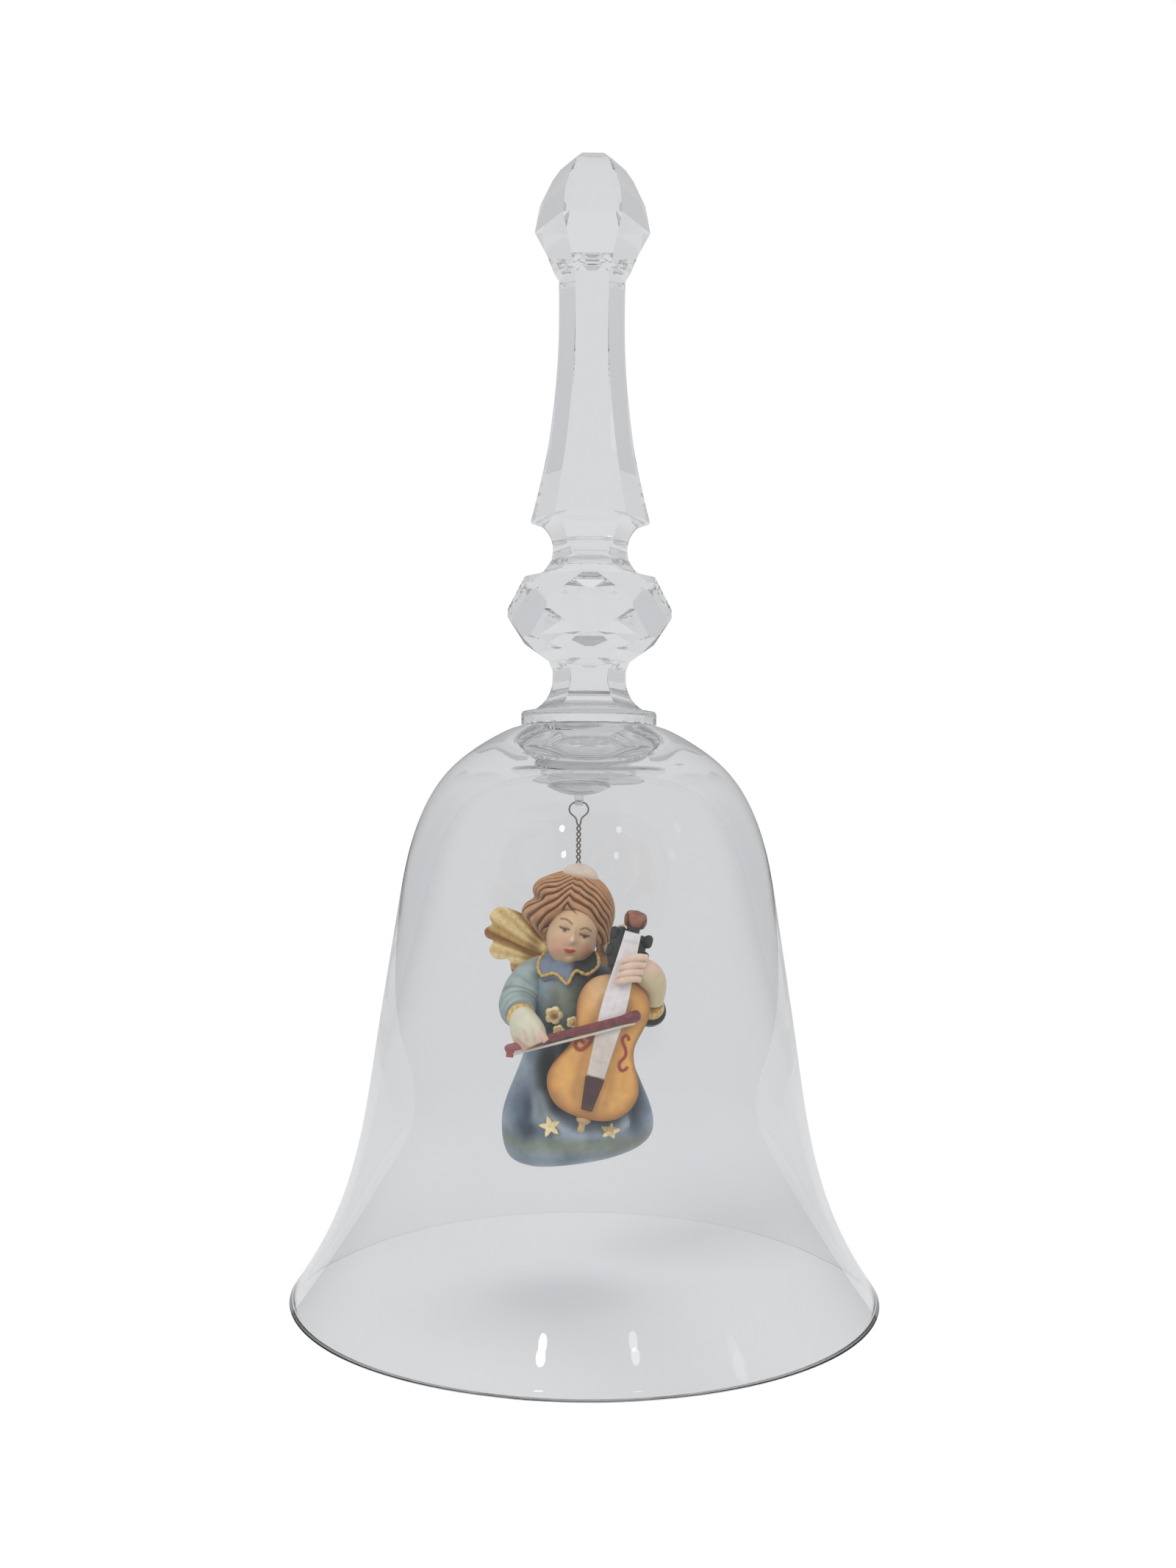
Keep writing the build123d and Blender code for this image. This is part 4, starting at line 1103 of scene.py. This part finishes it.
# ---- Wings ----
# Two short wings, each a thin plate let into the back. Four rounded feathers are carved fanwise from
# the root on both faces, with finer barbs between, and all is gilded, with painted shade in dark ochre in the
# cuts.
WINGS = (("right", (-4.4, 5.0, 50.2), (-16.1, 6.6, 57.2)), ("left", (1.6, 5.0, 50.2), (8.4, 14.4, 54.6)))
WING_HALF_THICK = 0.7


def plate(outline, centre, low, high, rows=40, edge_power=6):
    """Carved plate in its own frame: the outline shrunk towards a centre, `share` of the way, on both
    faces. The faces are flat inside and roll over at the edge as (1 - share^p)^(1/p)."""
    share = np.concatenate([np.linspace(0, 1, rows) ** 0.7, (np.linspace(1, 0, rows) ** 0.7)[1:]])
    half = (high - low) / 2
    depth = half * (1 - share ** edge_power) ** (1 / edge_power)
    depth[rows:] *= -1
    flat = np.asarray(centre) + share[:, None, None] * (outline - centre)
    level = ((low + high) / 2 + depth)[:, None, None]
    return np.concatenate([flat, np.broadcast_to(level, (*flat.shape[:2], 1))], -1)


for side_name, root, tip in WINGS:
    root, run = np.array(root), np.array(tip) - root
    reach, rise = math.hypot(run[0], run[1]), run[2]
    wing_outline = smooth_line([
        (0, 2.6), (0.3 * reach, 0.5 * rise + 1.7), (0.62 * reach, 0.86 * rise + 1.0), (0.88 * reach, rise),
        (0.93 * reach, rise - 1.3), (0.9 * reach, rise - 2.0), (0.99 * reach, rise - 2.7),
        (0.97 * reach, rise - 4.0), (0.88 * reach, rise - 4.5), (0.92 * reach, rise - 5.4),
        (0.8 * reach, rise - 7.2), (0.66 * reach, rise - 7.2), (0.62 * reach, rise - 9.0),
        (0.45 * reach, rise - 9.6), (0.2 * reach, -2.3), (0, -2.2), (0, 2.6)], 301)[:-1]
    blade = plate(wing_outline, (0.45 * reach, 0.32 * rise), -WING_HALF_THICK, WING_HALF_THICK, 60)
    spread = np.arctan2(blade[..., 1] + 1.6, blade[..., 0] + 2.0)
    out = np.hypot(blade[..., 0], blade[..., 1]) / reach
    feather = abs(np.cos(7.4 * (spread - 0.18)))
    barb = 0.5 + 0.5 * np.cos(44 * spread)
    boss = spot(blade[..., :2], (1.6, 1.6), (1.3, 1.3))
    carved = (feather ** 0.6 * 0.75 + 0.25 * barb) * np.clip(out * 3 - 0.5, 0, 1) + boss
    facing = np.sign(blade[..., 2])
    blade[..., 2] += facing * (0.65 * carved - 0.5)
    along = np.array([run[0], run[1], 0]) / reach
    through = np.cross(along, (0, 0, 1))
    placed = root + blade[..., :1] * along + blade[..., 1:2] * [0, 0, 1] + blade[..., 2:] * through
    wing_colour = np.broadcast_to(GOLD, placed.shape)
    wing_parts = []
    if side_name == "left":
        # Painted shade darkens the root of the far wing, behind the shoulder.
        wing_colour = mix(wing_colour, DRESS_SHADE, np.clip((6.4 - placed[..., 0]) / 1.2, 0, 1))
        wing_parts = [grid_part(ball((8.0, 14.2, 55.3), (0.9, 0.6, 0.9), 24, 32), GOLD_PALE)]
    cuts = np.clip(1.5 * carved - 0.35, 0, 1)
    # Painted shade in dark ochre where the carving is cut low.
    wing_colour = mix(wing_colour, GOLD_OCHRE * 0.6, 0.7 * (1 - cuts))
    wing_parts.append(grid_part(placed, wing_colour, cuts))
    piece = make_piece(f"{side_name}_wing_gilt", wing_parts, gilding)
    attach(piece, "angel")
    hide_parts(f"{side_name}_wing")


# ---- Cello body ----
# One block of wood with a waist, its front gently arched and stained amber, darker towards the ribs.
# The two sound holes are painted on in red-brown.
AMBER, AMBER_DARK = shade(218, 162, 86), shade(138, 76, 34)
AMBER_HIGHLIGHT = shade(232, 200, 156)
F_HOLE_RED = shade(146, 50, 34)
body_half = smooth_line(CELLO_HALF, 150)
body_outline = np.concatenate([body_half, body_half[-1:0:-1] * [-1, 1]])
body = plate(body_outline, (0, 10.4), 0, 3.0, 110, 9)
in_body = body.copy()
from_edge = np.concatenate([np.linspace(0, 1, 110) ** 0.7, (np.linspace(1, 0, 110) ** 0.7)[1:]])[:, None]
front_face = body[..., 2] > 1.5
body[..., 2] -= np.where(front_face, 0.22 * np.clip((from_edge - 0.72) / 0.28, 0, 1) ** 2, 0)
wood = mix(np.broadcast_to(AMBER, body.shape), AMBER_DARK,
           0.85 * np.clip((from_edge - 0.76) / 0.24, 0, 1) ** 1.6)
wood = mix(wood, AMBER_DARK, np.where(front_face, 0, 0.55))
# Painted highlight on the upper bout of the arched front.
shoulder_highlight = spot(in_body[..., :2], (-2.2, 18.6), (1.8, 2.6))
wood = mix(wood, AMBER_HIGHLIGHT, 0.6 * shoulder_highlight * front_face)
wood = mix(wood, AMBER_DARK, 0.35 * stroke(in_body, [(-2.2, 3.0), (-2.4, 10), (-1.9, 18)], 0.7, (0, 1)))
wood = mix(wood, AMBER_DARK, 0.35 * stroke(in_body, [(2.2, 3.0), (2.4, 10), (2.2, 18)], 0.7, (0, 1)))
right_hole = [(3.2, 12.9), (2.75, 13.35), (2.35, 12.9), (2.9, 11.7), (3.3, 10.3), (2.8, 9.0), (3.4, 8.2),
              (4.0, 8.8)]
left_hole = [(-2.5, 11.7), (-2.2, 12.2), (-1.95, 11.6), (-2.3, 10.5), (-3.1, 9.7), (-3.9, 10.2), (-3.6, 11.1),
             (-2.9, 10.9)]
holes = stroke(in_body, right_hole, 0.27, (0, 1)) + stroke(in_body, left_hole, 0.34, (0, 1))
wood = mix(wood, F_HOLE_RED, np.clip(holes * 1.8 - 0.3, 0, 1) * front_face)
cello_varnish = painted("amber_varnish", AMBER_DARK, shade(236, 196, 130), 0.6, 0.2, 0.28, 450.0, 0.36,
                        0.00005, 0.0, 0.45)
cello = make_piece("cello_body_carved", [grid_part(cello_place(body), wood)], cello_varnish)
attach(cello, "angel")
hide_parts("cello_body")


# ---- Cello neck, scroll and pegs ----
# The peg box and scroll are carved with the neck and stained almost black, with a red-brown scroll.
# Four stub pegs go in from the sides.
BLACK_GREEN, SCROLL_BROWN = shade(26, 32, 29), shade(128, 78, 58)
SCROLL_AT = np.array([0, 29.5, 1.7])
neck = tube(cello_place(np.linspace((0, 21.4, 1.9), (0, 28.4, 1.9), 24)), [[0.95, 0.8]] * 24,
            (0, 1, 0), 32, math.pi / 4)
from_middle = ball((0, 0, 0), (1.5, 1.5, 1.6), 60, 90)
curl = np.arctan2(from_middle[..., 1], from_middle[..., 2])
whorl = np.cos(2 * curl + 4.4 * np.hypot(from_middle[..., 1], from_middle[..., 2]))
scroll = SCROLL_AT + from_middle * (1 + 0.12 * whorl[..., None])
peg_box = ball((-1.5, 25.2, 1.5), (1.35, 3.0, 1.3), 40, 60)
peg_cheek = ball((1.55, 25.0, 1.3), (0.95, 2.7, 1.0), 40, 60)
neck_parts = [grid_part(neck, BLACK_GREEN), grid_part(cello_place(peg_box), BLACK_GREEN),
              grid_part(cello_place(peg_cheek), BLACK_GREEN),
              grid_part(cello_place(scroll), SCROLL_BROWN, 0.5 + 0.45 * whorl)]
dark_paint = painted("dark_stain", shade(20, 20, 18), shade(196, 130, 96), 0.9, 0.25, 0.4, 1200.0, 0.4)
cello_neck = make_piece("cello_neck_carved", neck_parts, dark_paint)
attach(cello_neck, "angel")
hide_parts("cello_neck")

peg_profile = smooth_line([(0.0, 0.85), (0.5, 0.9), (0.45, 1.4), (0.6, 1.8), (0.95, 2.4), (0.7, 3.0),
                           (0.0, 3.05)], 30)
peg_parts = []
for side in (-1, 1):
    for height in (24.6, 27.0):
        head_of_peg = turned(peg_profile, 36)
        placed = np.stack([side * head_of_peg[..., 2], height + head_of_peg[..., 0],
                           1.9 + head_of_peg[..., 1]], -1)
        peg_parts.append(grid_part(cello_place(placed), BLACK_GREEN))
cello_pegs = make_piece("cello_pegs_turned", peg_parts, dark_paint)
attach(cello_pegs, "angel")
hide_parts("cello_pegs")


# ---- Strings ----
# Fingerboard and strings are one tapering strip, painted bone white with four faint string lines,
# and run down to a dark wooden tailpiece.
IVORY, IVORY_GREY = shade(222, 216, 216), shade(206, 194, 184)
FRONT_Z = 3.0
strip_half = [(1.3, 6.3), (1.55, 11.4), (1.8, 16.5), (1.5, 22.0), (1.15, 27.6)]
strip_side = smooth_line(strip_half, 60)
strip_outline = np.concatenate([strip_side, strip_side[::-1] * [-1, 1]])
strip = plate(strip_outline, (0, 17), FRONT_Z - OVERLAP, FRONT_Z + 0.8, 36, 12)
strip_colour = mix(np.broadcast_to(IVORY, strip.shape), IVORY_GREY,
                   np.clip((13.5 - strip[..., 1]) / 1.2, 0, 1))
across_strip = strip[..., 0] / 1.5
string_lines = np.clip(1 - abs(np.sin(across_strip * 4.7)) * 9, 0, 1)
ivory_paint = painted("bone_white", shade(150, 140, 138), shade(246, 244, 242), 0.5, 0.3, 0.14, 1100.0, 0.42)
strings = make_piece("cello_strings_strip", [
    grid_part(cello_place(strip), strip_colour, 0.5 - 0.28 * string_lines)], ivory_paint)
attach(strings, "angel")
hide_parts("cello_strings")

tail_side = np.array([(0.8, 1.4), (0.95, 2.6), (1.15, 4.2), (1.4, 6.2)])
tail_side = smooth_line(tail_side, 40)
tail_outline = np.concatenate([tail_side, tail_side[::-1] * [-1, 1]])
tail = plate(tail_outline, (0, 3.9), FRONT_Z - OVERLAP, FRONT_Z + 0.7, 30, 8)
# The small pale spot on the tailpiece is a painted highlight.
tail_colour = mix(np.broadcast_to(shade(70, 40, 40), tail.shape), shade(196, 160, 150),
                  spot(tail[..., :2], (0.35, 1.75), (0.22, 0.28)))
tailpiece = make_piece("cello_tailpiece_carved", [grid_part(cello_place(tail), tail_colour)], dark_paint)
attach(tailpiece, "angel")
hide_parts("cello_tailpiece")

pin_profile = smooth_line([(0.0, 0.25), (1.0, 0.15), (1.0, -0.35), (0.5, -0.8), (0.5, -1.6), (0.3, -2.0),
                           (0.0, -2.0)], 40)
pin = turned(pin_profile, 40)[..., [0, 2, 1]] + [0, 0, 1.5]
end_pin = make_piece("cello_end_pin_carved", [grid_part(cello_place(pin), shade(190, 160, 112))],
                     cello_varnish)
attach(end_pin, "angel")
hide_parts("cello_end_pin")


# ---- Bow ----
# A dark red lacquered stick that swells to a rounded head, the frog held in the fist at its other
# end, and a cream line of hair along its underside.
BOW_TAIL, BOW_HEAD = np.array([-11.4, -12.4, 38.1]), np.array([7.6, -12.0, 43.2])
BOW_RED, BOW_DUSTY = shade(108, 30, 38), shade(150, 78, 76)
BOW_CREAM = shade(206, 196, 182)
STICK_R, HEAD_SWELL = 0.62, 0.26
HAIR_DROP = 0.98


def along_bow(share, drop=0.0):
    """Points on the bow's axis, or straight below it."""
    share = np.asarray(share, float)[:, None]
    return BOW_TAIL * (1 - share) + BOW_HEAD * share - [0, 0, 1] * np.asarray(drop)


shares = np.linspace(0, 1, 160)
stick_r = STICK_R + HEAD_SWELL * np.exp(-((shares - 0.945) / 0.055) ** 2)
stick_r = stick_r - 0.36 * np.clip((shares - 0.98) / 0.02, 0, 1) ** 2
stick_r = stick_r - 0.3 * np.clip((0.02 - shares) / 0.02, 0, 1)
stick = tube(along_bow(shares), stick_r, (0, 1, 0), 36)
stick_colour = mix(np.broadcast_to(BOW_RED, stick.shape), BOW_DUSTY,
                   np.clip((-8.5 - stick[..., 0]) / 1.0, 0, 1))
bow_paint = painted("red_lacquer", shade(50, 14, 18), shade(226, 190, 190), 0.5, 0.2, 0.25, 900.0, 0.24,
                    0.00003, 0.0, 0.8)
bow = make_piece("bow_stick_lacquered", [grid_part(stick, stick_colour)], bow_paint)
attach(bow, "angel")
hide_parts("bow_stick")

frog_line = along_bow([0.04, 0.04, 0.037, 0.035], np.array([0, 0.45, 0.9, 1.3])[:, None])
frog_block = tube(smooth_line(frog_line, 20), np.linspace(0.62, 0.5, 20), (0, 1, 0), 28)
frog = make_piece("bow_frog_block", [grid_part(frog_block, BOW_DUSTY)], dark_paint)
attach(frog, "angel")
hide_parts("bow_frog")

hair_line = along_bow(np.linspace(0.06, 0.96, 80), HAIR_DROP)
hair_band = tube(hair_line, [[0.22, 0.3]] * len(hair_line), (0, 1, 0), 16)
ribbon = make_piece("bow_hair_line", [grid_part(hair_band, BOW_CREAM)], ivory_paint)
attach(ribbon, "angel")
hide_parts("bow_hair")


# ---- Flowers ----
# Three small flowers at the waist, raised in gesso and gilded: one ochre with gold petals, two cream.
FLOWERS = (((-4.7, -6.7, 42.6), 1.4, GOLD_OCHRE, GOLD_PALE), ((-4.0, -7.2, 40.4), 0.9, GOLD, GOLD_PALE),
           ((-2.0, -6.9, 41.6), 0.95, GOLD, GOLD_PALE))
flower_parts = []
for place, size, heart, petal_colour in FLOWERS:
    turn = np.linspace(0, 2 * np.pi, 100, endpoint=False)
    petal_r = size * (0.8 + 0.2 * abs(np.cos(2.5 * turn)))
    petals = plate(np.stack([petal_r * np.cos(turn), petal_r * np.sin(turn)], -1), (0, 0), -0.6, 0.5, 20, 3)
    ring = np.hypot(petals[..., 0], petals[..., 1]) / size
    domed = 0.35 * np.exp(-(ring / 0.3) ** 2) - 0.2 * np.exp(-((ring - 0.42) / 0.1) ** 2)
    petals[..., 2] += np.where(petals[..., 2] > 0, domed, 0)
    colour = mix(np.broadcast_to(petal_colour, petals.shape), heart, np.exp(-(ring / 0.5) ** 2))
    placed = np.stack([petals[..., 0], -petals[..., 2], petals[..., 1]], -1) + place
    flower_parts.append(grid_part(placed, colour, 0.42 + 0.5 * np.clip(ring, 0, 1)))
flowers = make_piece("sash_flowers_gilt", flower_parts, gilding)
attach(flowers, "angel")
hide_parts("sash_flowers")


# ---- Stars ----
# Two five-point stars laid on the front of the skirt in raised gilding, one on each side of the pin.
STARS = (((-5.1, -8.35, 26.1), 1.7, 0.10, 12), ((3.5, -8.5, 25.6), 1.45, 0.9, -10))
star_parts = []
for place, size, lean_back, turned_by in STARS:
    turn = np.radians(90 + turned_by) + np.linspace(0, 2 * np.pi, 200, endpoint=False)
    ray_share = abs(((turn - np.radians(90 + turned_by)) / (2 * np.pi) * 5) % 1 - 0.5) * 2
    star_r = size * (0.46 + 0.54 * ray_share ** 1.4)
    star = plate(np.stack([star_r * np.cos(turn), star_r * np.sin(turn)], -1), (0, 0), -0.5, 0.35, 16, 4)
    y = -star[..., 2] * math.cos(lean_back) + star[..., 1] * math.sin(lean_back)
    height = star[..., 1] * math.cos(lean_back) + star[..., 2] * math.sin(lean_back)
    star_parts.append(grid_part(np.stack([star[..., 0], y, height], -1) + place, GOLD_PALE, 0.8))
stars = make_piece("dress_stars_gilt", star_parts, gilding)
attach(stars, "angel")
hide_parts("dress_stars")
